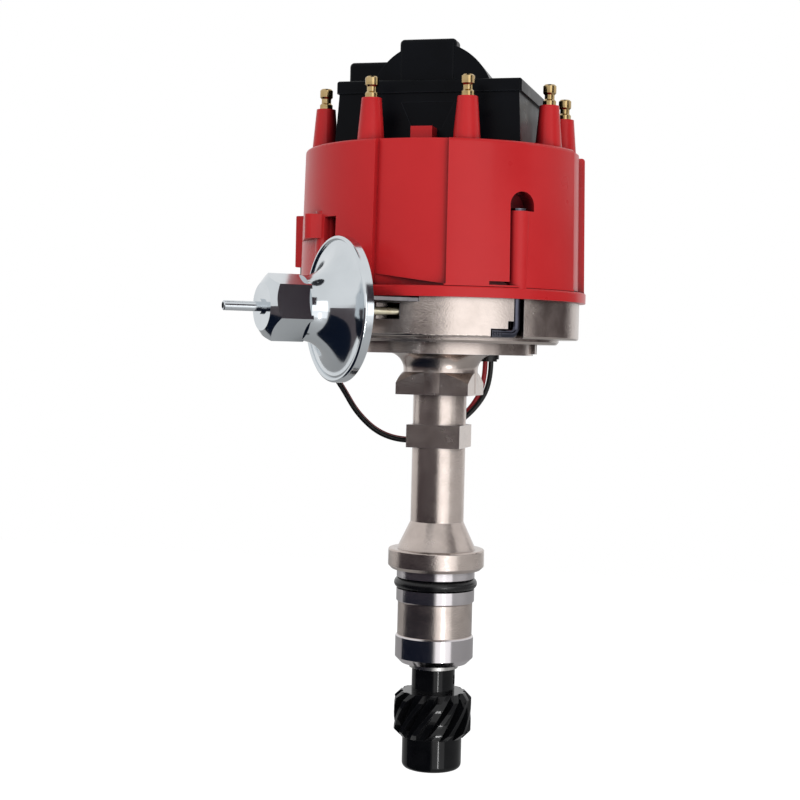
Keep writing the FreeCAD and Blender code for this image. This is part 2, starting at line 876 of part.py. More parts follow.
def make_pickup_retainer():
    low = magnet_z + body_gap
    clip = ring(hub_radius, retainer_radius, low, low + retainer_thickness)
    return clip.cut(block(-hub_radius / 3, hub_radius / 3, 0, retainer_radius + 1, low - 1, low + 2))


def make_timer_core():
    tube = ring(tube_radius, core_radius - core_tooth_height, core_z, core_z + core_thickness)
    teeth = [at_bearing(block(-tooth_width / 2, tooth_width / 2, -core_radius,
                              -core_radius + core_tooth_height + 1, core_z, core_z + core_thickness),
                        360 * i / pole_teeth) for i in range(pole_teeth)]
    rim = cylinder(core_radius, core_z, core_z + core_thickness)
    return joined([tube] + teeth).common(rim).removeSplitter()


def rotor_legs():
    return [(0, rotor_leg_circle), (0, -rotor_leg_circle)]


def make_weight_base():
    tube = cylinder(tube_radius, hub_top_z + body_gap, weight_plate_z)
    disc = cylinder(weight_plate_radius, weight_plate_z, weight_top_plate_z)
    pins = [cylinder(weight_pin_radius - running_clearance, weight_plate_z, weight_pin_top_z, side, 0)
            for side in (weight_pin_circle, -weight_pin_circle)]
    holes = [cylinder(rotor_screw_radius, weight_plate_z - 1, weight_top_plate_z + 1, x, y)
             for x, y in rotor_legs()]
    bore = cylinder(shaft_bore_radius, hub_top_z, weight_top_plate_z + 1)
    return without(joined([tube, disc] + pins), holes + [bore])


def make_centre_cam():
    low, high = weight_z, weight_z + weight_thickness
    hub = cylinder(cam_half_width + cam_hub_wall, low, high)
    bar = block(-cam_bar_half, cam_bar_half, -cam_half_length - cam_post_radius - 0.5,
                cam_half_length + cam_post_radius + 0.5, low, high)
    posts = [cylinder(cam_post_radius, low, high + cam_post_rise, 0, side)
             for side in (cam_half_length, -cam_half_length)]
    return without(joined([hub, bar] + posts), [cylinder(shaft_radius, low - 1, high + 1)])


def make_weight():
    low, high = weight_z, weight_z + weight_thickness
    sweep = [(0, 0)]
    for step in range(weight_arc_steps + 1):
        share = step / weight_arc_steps
        angle = math.radians(-weight_head_angle + share * (weight_head_angle + weight_tail_angle))
        sweep.append((2 * weight_outer_radius * math.cos(angle), 2 * weight_outer_radius * math.sin(angle)))
    body = ring(weight_inner_radius, weight_outer_radius, low, high).common(plate(sweep, low, high))
    toe = block(weight_toe_radius, weight_inner_radius + 2, -weight_toe_width, 0, low, high)
    hole = cylinder(weight_pin_radius, low - 1, high + 1, weight_pin_circle, 0)
    return without(joined([body, toe]), [hole])


def make_weight_spring():
    # Close-wound, from the pin of one weight to the post on the far side of the cam
    height = weight_z + weight_thickness + spring_lift
    pin = V(weight_pin_circle, 0, height)
    post = V(0, -cam_half_length, height)
    along = (post - pin).normalize()
    pin_ring_outer = weight_pin_radius + spring_ring_wall
    post_ring_outer = cam_post_radius + spring_ring_wall
    half = advance_spring_wire
    pin_ring = ring(weight_pin_radius, pin_ring_outer, height - half, height + half, pin.x, pin.y)
    post_ring = ring(cam_post_radius, post_ring_outer, height - half, height + half, post.x, post.y)
    start = pin + along * (pin_ring_outer - 0.3)
    end = post - along * (post_ring_outer - 0.3)
    length = start.distanceToPoint(end)
    turns = int(length / (2 * advance_spring_wire))
    pitch = length / turns
    outline = [(0, 0), (advance_spring_radius, 0)]
    outline += [(advance_spring_radius + advance_spring_wire, (i + 0.5) * pitch,
                 advance_spring_radius, (i + 1) * pitch) for i in range(turns)]
    coil = turned(outline + [(0, length)])
    coil = placed(coil, FreeCAD.Placement(start, FreeCAD.Rotation(UP, along)))
    return joined([pin_ring, coil, post_ring])


def make_rotor():
    base_top = rotor_base_z + rotor_base_thickness
    base = cylinder(rotor_base_radius, rotor_base_z, base_top)
    tower = cylinder(rotor_tower_radius, base_top, rotor_arm_z)
    half = rotor_arm_width / 2
    arm = at_bearing(block(-half, half, -rotor_arm_reach, rotor_tail_reach, rotor_arm_z, rotor_blade_z),
                     tower_first_bearing)
    legs = [cylinder(rotor_leg_radius, weight_top_plate_z, rotor_base_z, x, y) for x, y in rotor_legs()]
    holes = [cylinder(rotor_screw_radius, weight_plate_z, base_top + 1, x, y) for x, y in rotor_legs()]
    body = without(joined([base, tower, arm] + legs), holes)
    blade = at_bearing(block(-blade_width / 2, blade_width / 2, -blade_reach, 2 * button_radius,
                             rotor_blade_z, rotor_blade_z + blade_thickness), tower_first_bearing)
    screws = group([screw(rotor_screw_radius, rotor_screw_head_radius, weight_plate_z, base_top,
                          rotor_screw_head, x, y) for x, y in rotor_legs()])
    return body, blade, screws


def make_module():
    half = module_length / 2
    top = cup_floor_z + module_height
    body = block(module_x - half, module_x + half, module_inner_y, module_inner_y + module_width,
                 cup_floor_z, top)
    body = body.makeFillet(1.2, [edge for edge in body.Edges if edge.BoundBox.ZLength > 1])
    holes = [cylinder(module_screw_radius, cup_floor_z - 1, top + 1, x, y)
             for x, y in module_screw_places[:2]]
    seats = (top, top, cup_floor_z + capacitor_foot)
    screws = group([screw(module_screw_radius, 1.7 * module_screw_radius, module_screw_tip_z, seat, 1.8, x, y)
                    for (x, y), seat in zip(module_screw_places, seats)])
    return without(body, holes), screws


def make_capacitor():
    half = capacitor_length / 2
    height = cup_floor_z + capacitor_foot + capacitor_radius
    can = Part.makeCylinder(capacitor_radius, capacitor_length, V(capacitor_x, -half, height), V(0, 1, 0))
    band = block(capacitor_x - 3.6, capacitor_x + 3.6, -half + 4, half + 8, cup_floor_z,
                 cup_floor_z + capacitor_foot)
    web = block(capacitor_x - 3.6, capacitor_x + 3.6, -half + 4, half - 4, cup_floor_z, height)
    x, y = module_screw_places[2]
    return without(joined([can, band, web]), [cylinder(module_screw_radius, cup_floor_z - 1, height, x, y)])


def make_vacuum_can():
    rim = can_rim_out
    hem_low = rim - hem_depth + can_wall
    hem_high = rim + can_wall
    clamp = can_radius - hem_width
    half = diaphragm_thickness / 2
    rear = turned([(rod_radius + body_gap, can_back_out), (can_back_radius - 2, can_back_out),
                   (can_back_radius, can_back_out), (clamp - 3, rim - half - can_wall),
                   (clamp, rim - half - can_wall), (clamp, rim - half), (clamp - 3.5, rim - half),
                   (can_back_radius - 0.4, can_back_out + can_wall),
                   (rod_radius + body_gap, can_back_out + can_wall)])
    cup_low = rim + flare_length - 1
    flare_mid_radius = flare_neck_radius + 0.26 * (clamp - flare_neck_radius)
    flare_mid_out = rim + 0.33 * flare_length
    bead_radius = can_radius - hem_width / 2
    flare = turned([(clamp, hem_low), (can_radius, hem_low), (can_radius, hem_high - hem_bead_rise),
                    (bead_radius, hem_high + hem_bead_rise, clamp, hem_high - hem_groove_depth),
                    (clamp - hem_groove_width, hem_high),
                    (flare_mid_radius, flare_mid_out + 0.6, flare_neck_radius, rim + flare_length),
                    (cup_bore_radius, rim + flare_length),
                    (cup_bore_radius, rim + flare_length - can_wall),
                    (flare_mid_radius - can_wall, flare_mid_out - 0.4, clamp - 1 - can_wall, rim + half),
                    (clamp, rim + half)])
    corner = cup_hex_width / math.sqrt(3)
    dome = turned([(0, cup_low), (corner + 1, cup_low), (corner + 1, cup_front_out - cup_front_slope),
                   (cup_front_radius, cup_front_out), (0, cup_front_out)])
    hexagon_cup = hexagon(cup_hex_width, cup_low, cup_front_out, cup_hex_turn).common(dome)
    bore = cylinder(cup_bore_radius, cup_low - 1, cup_front_out - cup_front_wall)
    outlet = cylinder(nipple_radius, cup_front_out - cup_front_wall - 1, cup_front_out + 1)
    front = without(joined([flare, hexagon_cup]), [bore, outlet])
    disc = ring(diaphragm_hole_radius, clamp, rim - half, rim + half)
    spring = coil_spring(can_spring_radius, can_spring_wire, rim + half,
                         cup_front_out - cup_front_wall - 0.2, can_spring_turns)
    return [on_pull_axis(shape) for shape in (front, rear, disc, spring)]


def make_nipple():
    low = cup_front_out - cup_front_wall
    tube = turned([(nipple_bore_radius, low), (nipple_radius, low),
                   (nipple_radius, nipple_tip_out - nipple_edge),
                   (nipple_radius - nipple_edge, nipple_tip_out), (nipple_bore_radius, nipple_tip_out)])
    collar = ring(nipple_radius, nipple_collar_radius, cup_front_out, cup_front_out + nipple_collar)
    return on_pull_axis(joined([tube, collar]))


def make_vacuum_rod():
    half = rod_eye_thickness / 2
    slot_side = drive_pin_radius + body_gap + eye_slot_play
    slot_out = drive_pin_radius + body_gap
    eye = block(-rod_eye_width / 2, rod_eye_width / 2, -half, half, -slot_out - 2.2, slot_out + 2.6)
    eye = eye.cut(block(-slot_side, slot_side, -2, 2, -slot_out, slot_out))
    thickness = diaphragm_thickness / 2
    rod = cylinder(rod_radius, slot_out + 1.4, can_rim_out + thickness)
    rod = rod.cut(block(-2, 2, half, 2, 0, slot_out + 5)).cut(block(-2, 2, -2, -half, 0, slot_out + 5))
    cup = cylinder(diaphragm_cup_radius, can_rim_out - thickness, can_rim_out + thickness)
    return on_pull_axis(joined([eye, rod, cup]))


def make_strap():
    low = strap_z - pull_z
    high = low + strap_thickness
    plate_side = block(strap_low, strap_high, low, high, strap_foot_out, can_back_out)
    foot = block(strap_foot_low, strap_high, low, high, strap_foot_out, strap_foot_out + strap_foot_depth)
    back = block(strap_low, strap_high, -strap_back_drop, high, can_back_out - strap_thickness, can_back_out)
    opening = cylinder(rod_radius + 2 * body_gap, can_back_out - 3, can_back_out + 1)
    holes = []
    for side_offset, out in strap_screws:
        hole = Part.makeCylinder(strap_screw_radius, 4, V(side_offset, low - 1, out), V(0, 1, 0))
        holes.append(hole)
    strap = on_pull_axis(without(joined([plate_side, foot, back]), holes + [opening]))
    return strap.common(cylinder(2 * cup_radius, cup_floor_z, cup_rim_z))


def make_strap_screws():
    places = [pull_point(side_offset, out) for side_offset, out in strap_screws]
    return group([screw(strap_screw_radius, strap_screw_head, strap_screw_tip_z, strap_z + strap_thickness,
                        1.4, place.x, place.y) for place in places])


def tower_bearings():
    return [tower_first_bearing + 360 * i / tower_count for i in range(tower_count)]


def panel_cut(bearing, rising_side):
    low, high = lip_top_z + panel_groove, deck_z + 1
    outside = lip_radius + 8
    bottom_radius = column_radius_bottom - panel_depth
    top_radius = bottom_radius - panel_draft
    shell = turned([(bottom_radius, low), (outside, low), (outside, high), (top_radius, high)])
    panel = shell.common(wedge(panel_half_angle, outside + 2, low, high))
    half = bottom_radius * math.sin(math.radians(panel_half_angle))
    left = panel_sill_rise if rising_side < 0 else 0
    right = panel_sill_rise if rising_side > 0 else 0
    sill = Part.Face(Part.makePolygon([V(-half, -outside, lip_top_z), V(half, -outside, lip_top_z),
                                       V(half, -outside, low + right), V(-half, -outside, low + left),
                                       V(-half, -outside, lip_top_z)]))
    sill = sill.extrude(V(0, outside - panel_sill_floor, 0))
    return at_bearing(panel.fuse(sill), bearing)


def latch_cap_pad():
    return block(-latch_post_radius - 2.4, latch_recess_side + 2.4, -cap_wall_inner_bottom - 1,
                 -latch_pad_inner, cap_bottom_z, latch_recess_top_z + 2)


def latch_cap_cuts():
    outside = -lip_radius - lip_height
    floor_y = -latch_recess_floor
    gap = block(0, latch_recess_side, outside, floor_y, latch_recess_bottom_z, latch_post_top_z)
    arch = Part.Wire([
        Part.LineSegment(V(latch_recess_side, outside, latch_post_top_z),
                         V(latch_recess_side, outside, latch_post_top_z + 3)).toShape(),
        Part.Arc(V(latch_recess_side, outside, latch_post_top_z + 3),
                 V(latch_recess_side / 2, outside, latch_recess_top_z),
                 V(-latch_post_radius, outside, latch_post_top_z + 2)).toShape(),
        Part.LineSegment(V(-latch_post_radius, outside, latch_post_top_z + 2),
                         V(-latch_post_radius, outside, latch_post_top_z)).toShape(),
        Part.LineSegment(V(-latch_post_radius, outside, latch_post_top_z),
                         V(latch_recess_side, outside, latch_post_top_z)).toShape(),
    ])
    arch = Part.Face(arch).extrude(V(0, floor_y - outside, 0))
    foot_slot = block(0, latch_recess_side + foot_slot_length, outside, -foot_slot_floor,
                      foot_slot_low_z, foot_slot_high_z)
    access = cylinder(latch_access_radius, latch_post_top_z, deck_z + 1, 0, rod_y)
    return [gap, arch, foot_slot, access]


def boxed_latch_cuts():
    # The latch beside the connector: its recess is square and its head is fitted from inside
    recess = block(boxed_recess_low, boxed_recess_high, -hood_outer_radius, -latch_recess_floor,
                   latch_recess_bottom_z, boxed_recess_top_z)
    access = cylinder(latch_access_radius, latch_post_top_z, deck_z + 1, 0, rod_y)
    return [recess, access]


def boxed_head_cuts():
    low, high = latch_post_top_z - 1, latch_head_bottom_z + latch_head_height + boxed_head_room
    pocket = cylinder(latch_bore_radius, low, high, 0, rod_y)
    window = block(-latch_bore_radius, latch_bore_radius, rod_y, -latch_pad_inner + 1,
                   latch_head_bottom_z - boxed_head_room, high)
    return [pocket, window]


def side_box():
    # Box along the cap's side in front of the connector; its front end stands out beside a latch
    outer = -(column_radius_bottom - side_box_inset)
    head = block(side_box_back, side_box_front, outer, -latch_pad_inner, side_box_low_z, side_box_top_z)
    head = head.makeFillet(side_box_round, [edge for edge in head.Edges
                                            if edge.BoundBox.XMin > side_box_front - 0.1
                                            and edge.BoundBox.YMax < outer + 0.1
                                            and edge.BoundBox.ZLength > 1])
    skirt = block(side_box_back, side_box_skirt_front, outer, -latch_pad_inner,
                  hood_bottom_z, side_box_low_z + 1)
    hollow = cylinder(cap_wall_inner_bottom, hood_bottom_z - 1, side_box_top_z + 1)
    return at_bearing(joined([head, skirt]).cut(hollow), side_box_bearing)


def latch_bores():
    rod = cylinder(latch_rod_radius + body_gap, cap_bottom_z - 4, latch_bore_bottom_z + 1, 0, rod_y)
    bore = cylinder(latch_bore_radius, latch_bore_bottom_z, latch_post_top_z + 1, 0, rod_y)
    return [rod, bore]


def hood_shapes():
    outer = block(-hood_half_width, hood_half_width, -hood_outer_radius, -cap_wall_inner_bottom - 1,
                  hood_bottom_z, hood_top_z)
    outer = outer.makeFillet(1.2, [edge for edge in outer.Edges
                                   if edge.BoundBox.YMax < -hood_outer_radius + 0.1])
    inner = block(-hood_half_width + hood_wall, hood_half_width - hood_wall,
                  -hood_outer_radius + hood_wall, -hood_cavity_inner, hood_bottom_z - 1,
                  hood_top_z - hood_wall)
    return at_bearing(outer, hood_bearing), at_bearing(inner, hood_bearing)


def cap_shell():
    ceiling = deck_z - deck_thickness
    edge = deck_round * (1 - math.sqrt(0.5))
    lip_edge = lip_round * (1 - math.sqrt(0.5))
    return turned([
        (cap_wall_inner_bottom, cap_bottom_z), (lip_radius, cap_bottom_z),
        (lip_radius, lip_top_z - lip_round),
        (lip_radius - lip_edge, lip_top_z - lip_edge, lip_radius - lip_round, lip_top_z),
        (column_radius_bottom, lip_top_z + 0.2),
        (column_radius_top, deck_z - deck_round),
        (column_radius_top - edge, deck_z - edge, column_radius_top - deck_round, deck_z),
        (0, deck_z), (0, ceiling), (cap_wall_inner_top, ceiling),
    ])


def make_cap():
    shell = cap_shell()
    well_low = well_floor_z - well_wall
    well = block(-well_half_width - well_wall, well_half_width + well_wall, well_front_y - well_wall,
                 well_back_y + well_wall, well_low, deck_z)
    socket_radius = button_radius + running_clearance + button_socket_wall
    solids = [shell, well, cylinder(socket_radius, button_socket_bottom_z, well_floor_z)]
    for bearing in tower_bearings():
        cone = Part.makeCone(tower_base_radius, tower_top_radius, tower_top_z - deck_z + 2,
                             V(0, -tower_circle, deck_z - 2))
        rib = cylinder(tower_rib_radius, tower_rib_bottom_z, deck_z, 0, -tower_circle)
        solids.append(at_bearing(cone.fuse(rib), bearing))
    register = ring(cap_wall_inner_bottom - register_wall, cap_wall_inner_bottom - body_gap,
                    cap_bottom_z - register_height, cap_bottom_z)
    step = ring(cap_wall_inner_bottom - register_wall, cap_wall_inner_bottom + 1, cap_bottom_z,
                cap_bottom_z + register_height)
    strap_room = on_pull_axis(block(strap_foot_low - 1, strap_high + 1.5, 0,
                                    cap_bottom_z + 1.2 - pull_z, strap_foot_out - 4, can_back_out))
    register = register.cut([strap_room] + [at_latch(latch_register_gap(), i)
                                            for i in range(len(latch_bearings))])
    step = step.cut(strap_room)
    solids += [register, step]
    solids += [at_latch(latch_cap_pad(), i) for i in range(len(latch_bearings))]
    tab = block(-tab_width / 2, tab_width / 2, cover_front_y - cover_flare - tab_gap - tab_depth,
                cover_front_y - cover_flare - tab_gap, deck_z - 1, deck_z + tab_height)
    back_tab = block(-tab_width / 2, tab_width / 2, cover_back_y + cover_flare + tab_gap,
                     cover_back_y + cover_flare + tab_gap + tab_depth, deck_z - 1, deck_z + tab_height)
    hood, hood_inside = hood_shapes()
    solids += [tab, back_tab, side_box()]
    panels = [panel_cut(0, -1), panel_cut(90, 0), panel_cut(180, 1), panel_cut(-90, 0)]
    body = without(joined(solids), panels)
    cuts = []
    for i in range(len(latch_bearings)):
        shapes = boxed_latch_cuts() if latch_names[i] == boxed_latch else latch_cap_cuts()
        cuts += [at_latch(shape, i) for shape in shapes]
    body = without(body, cuts)
    posts = [at_latch(cylinder(latch_post_radius, cap_bottom_z, latch_post_top_z, 0, rod_y), i)
             for i in range(len(latch_bearings))]
    body = joined([body, hood] + posts)
    tools = [hood_inside]
    tools.append(block(-well_half_width, well_half_width, well_front_y, well_back_y, well_floor_z, deck_z + 1))
    tools.append(cylinder(button_radius + running_clearance, button_socket_bottom_z - 1, well_low))
    for bearing in tower_bearings():
        tools.append(at_bearing(cylinder(contact_rod_radius, tower_rib_bottom_z - 1,
                                         tower_top_z - terminal_base, 0, -tower_circle), bearing))
        tools.append(at_bearing(cylinder(terminal_base_radius, tower_top_z - terminal_base, tower_top_z + 1,
                                         0, -tower_circle), bearing))
    for i in range(len(latch_bearings)):
        tools += [at_latch(shape, i) for shape in latch_bores()]
        if latch_names[i] == boxed_latch:
            tools += [at_latch(shape, i) for shape in boxed_head_cuts()]
    body = without(body, tools)
    bosses = coil_bosses()
    return joined([body] + bosses)


def latch_register_gap():
    return block(-latch_post_radius - 3, latch_foot_length + 5, -cap_wall_inner_bottom - 2,
                 -latch_pad_inner + 3, cap_bottom_z - register_height - 1, cap_bottom_z)


def make_terminals():
    low, high = tower_top_z - terminal_base, terminal_top_z
    waist_low = tower_top_z + 2.2
    waist_high = high - 4.0
    pin = turned([(0, low), (terminal_base_radius, low), (terminal_base_radius, tower_top_z),
                  (terminal_radius, tower_top_z), (terminal_radius, waist_low),
                  (terminal_waist_radius, waist_low + 0.9), (terminal_waist_radius, waist_high - 0.9),
                  (terminal_radius, waist_high), (terminal_radius, high - 0.7),
                  (terminal_radius - 0.7, high), (terminal_dimple, high), (terminal_dimple, high - 1.2),
                  (0, high - 1.2)])
    placed_pin = pin.copy()
    placed_pin.translate(V(0, -tower_circle, 0))
    rod = cylinder(contact_rod_radius, contact_bottom_z + 1, low, 0, -tower_circle)
    inner = blade_reach + terminal_gap
    foot = block(-contact_foot_width / 2, contact_foot_width / 2, -tower_circle, -inner,
                 contact_bottom_z, contact_bottom_z + contact_foot_height)
    contact = joined([rod, foot, cylinder(contact_foot_width / 2, contact_bottom_z,
                                          contact_bottom_z + contact_foot_height, 0,
                                          -tower_circle + contact_shift)])
    terminals = group([at_bearing(placed_pin, bearing) for bearing in tower_bearings()])
    contacts = group([at_bearing(contact, bearing) for bearing in tower_bearings()])
    return terminals, contacts


def make_button():
    top = button_bottom_z + button_length
    crown = turned([(0, button_bottom_z), (button_radius - 0.8, button_bottom_z),
                    (button_radius, button_bottom_z + 0.8), (button_radius, top), (0, top)])
    spring = coil_spring(button_radius - 2 * button_spring_wire, button_spring_wire, top,
                         well_floor_z - well_wall, button_spring_turns)
    return crown, spring


def make_latches():
    rods, washers, springs = [], [], []
    head_top = latch_head_bottom_z + latch_head_height
    bend_z = latch_foot_z + latch_bend_radius
    bend = latch_bend_radius * (1 - math.sqrt(0.5))
    path = Part.Wire([
        Part.LineSegment(V(0, rod_y, latch_head_bottom_z), V(0, rod_y, bend_z)).toShape(),
        Part.Arc(V(0, rod_y, bend_z), V(bend, rod_y, latch_foot_z + bend),
                 V(latch_bend_radius, rod_y, latch_foot_z)).toShape(),
        Part.LineSegment(V(latch_bend_radius, rod_y, latch_foot_z),
                         V(latch_foot_length, rod_y, latch_foot_z)).toShape(),
    ])
    section = Part.Wire(Part.makeCircle(latch_rod_radius, V(0, rod_y, latch_head_bottom_z), UP))
    rod = path.makePipeShell([section], True, False)
    half = latch_foot_height / 2
    flats = [block(-9, latch_foot_length + 1, rod_y - 5, rod_y + 5, latch_foot_z - 5, latch_foot_z - half),
             block(latch_bend_radius, latch_foot_length + 1, rod_y - 5, rod_y + 5,
                   latch_foot_z + half, latch_foot_z + 5)]
    pitch = 2 * foot_ridge_width
    flats += [block(latch_foot_length - pitch * i - foot_ridge_width, latch_foot_length - pitch * i,
                    rod_y - 5, rod_y - latch_rod_radius + foot_ridge_depth,
                    latch_foot_z - 5, latch_foot_z + 5) for i in range(latch_foot_ridges)]
    rod = rod.cut(flats)
    head = cylinder(latch_head_radius, latch_head_bottom_z, head_top, 0, rod_y)
    slot = block(-latch_head_radius - 1, latch_head_radius + 1, rod_y - 0.6, rod_y + 0.6,
                 head_top - 1.6, head_top + 1)
    rod = joined([rod, head]).cut(slot)
    washer_top = latch_head_bottom_z
    washer = ring(latch_rod_radius + washer_fit, latch_head_radius,
                  washer_top - latch_washer_thickness, washer_top, 0, rod_y)
    spring = coil_spring(latch_spring_radius, latch_spring_wire, latch_bore_bottom_z,
                         washer_top - latch_washer_thickness, latch_spring_turns, 0, rod_y)
    for i in range(len(latch_bearings)):
        rods.append(at_latch(rod, i))
        washers.append(at_latch(washer, i))
        springs.append(at_latch(spring, i))
    return rods, washers, springs


def coil_screw_places():
    x = core_half_width - coil_screw_inset
    return [(x, core_front_y + coil_screw_inset), (-x, core_front_y + coil_screw_inset),
            (x, core_back_y - coil_screw_inset), (-x, core_back_y - coil_screw_inset)]


def coil_bosses():
    tip = core_bottom_z - coil_screw_bite
    bosses = []
    for x, y in coil_screw_places():
        boss = cylinder(coil_boss_radius, well_floor_z - 1, core_bottom_z, x, y)
        bosses.append(boss.cut(cylinder(coil_screw_radius, tip, core_bottom_z + 1, x, y)))
    return bosses


def make_coil():
    top = core_bottom_z + core_height
    half_leg = core_centre_leg / 2
    frame = block(-core_half_width, core_half_width, core_front_y, core_back_y, core_bottom_z, top)
    window = block(-core_half_width + core_side_leg, core_half_width - core_side_leg,
                   core_front_y + core_end_leg, core_back_y - core_end_leg, core_bottom_z - 1, top + 1)
    leg = block(-half_leg, half_leg, core_front_y, core_back_y, core_bottom_z, top)
    holes = [cylinder(coil_screw_radius, core_bottom_z - 1, top + 1, x, y) for x, y in coil_screw_places()]
    core = without(joined([frame.cut(window), leg]), holes)
    front = core_front_y + core_end_leg + body_gap
    back = core_back_y - core_end_leg - body_gap
    winding = Part.makeCylinder(coil_radius, back - front, V(0, front, coil_axis_z), V(0, 1, 0))
    bore = block(-half_leg, half_leg, front - 1, back + 1, core_bottom_z, top)
    screws = group([screw(coil_screw_radius, 1.8 * coil_screw_radius, core_bottom_z - coil_screw_bite, top,
                          2.2, x, y) for x, y in coil_screw_places()])
    return winding.cut(bore), core, screws


def make_cover():
    wide, front, back = cover_half_width, cover_front_y, cover_back_y
    foot = cover_flare
    low_wire = Part.makePolygon([V(-wide - foot, front - foot, deck_z), V(wide + foot, front - foot, deck_z),
                                 V(wide + foot, back + foot, deck_z), V(-wide - foot, back + foot, deck_z),
                                 V(-wide - foot, front - foot, deck_z)])
    high_wire = Part.makePolygon([V(-wide, front, cover_rim_z), V(wide, front, cover_rim_z),
                                  V(wide, back, cover_rim_z), V(-wide, back, cover_rim_z),
                                  V(-wide, front, cover_rim_z)])
    skirt = Part.makeLoft([low_wire, high_wire], True, True)
    rim_top = cover_rim_z + cover_rim_height
    over = cover_rim_overhang
    rim = block(-wide - over, wide + over, front - over, back + over, cover_rim_z, rim_top)
    rim = rim.makeFillet(cover_rim_round, [edge for edge in rim.Edges
                                           if edge.BoundBox.ZMin > rim_top - 0.1 or edge.BoundBox.ZLength > 1])
    bulge = Part.makeCone(bulge_radius, bulge_back_radius, bulge_back_y - bulge_front_y,
                          V(0, bulge_front_y, bulge_axis_z), V(0, 1, 0))
    bulge = bulge.common(block(-wide, wide, front, back, cover_rim_z, bulge_axis_z + bulge_radius + 1))
    crown = block(crown_low_x, crown_high_x, crown_front_y, crown_back_y, cover_rim_z, crown_top_z)
    crown = crown.makeFillet(cover_block_round, [edge for edge in crown.Edges
                                                 if edge.BoundBox.ZMin > crown_top_z - 0.1
                                                 or edge.BoundBox.ZLength > 1])
    side = block(side_block_low_x, side_block_high_x, side_block_front_y, side_block_back_y,
                 cover_rim_z, side_block_top_z)
    side = side.makeFillet(cover_block_round, [edge for edge in side.Edges
                                               if edge.BoundBox.ZMin > side_block_top_z - 0.1
                                               or edge.BoundBox.ZLength > 1])
    body = joined([skirt, rim, bulge, crown, side])
    wall = cover_wall
    inside = block(-wide + wall, wide - wall, front + wall, back - wall, deck_z - 1, rim_top - wall)
    tunnel = Part.makeCone(bulge_radius - wall, bulge_back_radius - wall,
                           bulge_back_y - bulge_front_y - 2 * wall,
                           V(0, bulge_front_y + wall, bulge_axis_z), V(0, 1, 0))
    pocket = block(side_block_low_x + 2 * wall, side_block_high_x - wall, side_block_front_y + wall,
                   side_block_back_y - wall, cover_rim_z, side_block_top_z - wall)
    mark = Part.Face(Part.makePolygon([
        V(-front_recess_top_half, front - 2 * foot, front_recess_high_z),
        V(front_recess_top_half, front - 2 * foot, front_recess_high_z),
        V(front_recess_bottom_half, front - 2 * foot, front_recess_low_z),
        V(-front_recess_bottom_half, front - 2 * foot, front_recess_low_z),
        V(-front_recess_top_half, front - 2 * foot, front_recess_high_z)]))
    mark = mark.extrude(V(0, 2 * foot + front_recess_depth - 0.5 * foot, 0))
    return without(body, [inside, tunnel, pocket, mark])


def blade_offsets():
    return [(i - (blade_count - 1) / 2) * blade_pitch for i in range(blade_count)]


def make_plug():
    inner, outer = hood_cavity_inner + body_gap, hood_outer_radius - hood_wall - body_gap
    half = hood_half_width - hood_wall - body_gap
    body = block(-half, half, -outer, -inner, plug_bottom_z, plug_top_z)
    thick, wide = blade_size
    centre = (inner + outer) / 2
    pockets = [block(x - wide / 2 - 0.1, x + wide / 2 + 0.1, -centre - thick / 2 - 0.1,
                     -centre + thick / 2 + 0.1, blade_bottom_z - 0.5, plug_top_z + 1)
               for x in blade_offsets()]
    blades = [block(x - wide / 2, x + wide / 2, -centre - thick / 2, -centre + thick / 2,
                    blade_bottom_z, hood_top_z - hood_wall) for x in blade_offsets()]
    plug = body.cut(pockets)
    return at_bearing(plug, hood_bearing), group([at_bearing(blade, hood_bearing) for blade in blades])


def make_grommet():
    centre = grommet_centre()
    low = harness_exit_z
    x, y = centre.x, centre.y
    barrel = cylinder(grommet_radius, low, cup_floor_z + grommet_flange, x, y)
    inner = cylinder(grommet_radius + 1.4, cup_floor_z, cup_floor_z + grommet_flange, x, y)
    outer = cylinder(grommet_radius + 1.0, low + 1.2, lower_disc_bottom_z, x, y)
    return joined([barrel, inner, outer])


def rounded_path(points, name):
    # Straight runs joined by tangent arcs, each as large as its two runs allow
    edges = []
    start = points[0]
    radii = []
    for before, corner, after in zip(points, points[1:], points[2:]):
        run_in, run_out = before - corner, after - corner
        shorter = min(run_in.Length, run_out.Length)
        back, ahead = run_in.normalize(), run_out.normalize()
        turn = math.pi - back.getAngle(ahead)
        reach = 0.45 * shorter
        radius = reach / math.tan(turn / 2)
        radii.append(radius)
        bisector = (back + ahead).normalize()
        middle = corner + bisector * (math.hypot(radius, reach) - radius)
        first, last = corner + back * reach, corner + ahead * reach
        edges.append(Part.LineSegment(start, first).toShape())
        edges.append(Part.Arc(first, middle, last).toShape())
        start = last
    edges.append(Part.LineSegment(start, points[-1]).toShape())
    path = Part.Wire(edges)
    print(name, "length", round(path.Length, 1), "radii", [round(radius, 1) for radius in radii])
    return path


def make_wire(route, name):
    points = [harness_point(*point) for point in route]
    path = rounded_path(points, name)
    section = Part.Wire(Part.makeCircle(wire_radius, points[0], points[1] - points[0]))
    tube = path.makePipeShell([section], True, False)
    expected = math.pi * wire_radius ** 2 * path.Length
    print(name, "volume ratio", round(tube.Volume / expected, 4))
    return tube


def export(shapes):
    os.makedirs("parts", exist_ok=True)
    for name, shape in shapes.items():
        shape.exportStep("parts/" + name + ".step")
        if not shape.isValid():
            print("invalid", name)
    print(len(shapes), "parts")


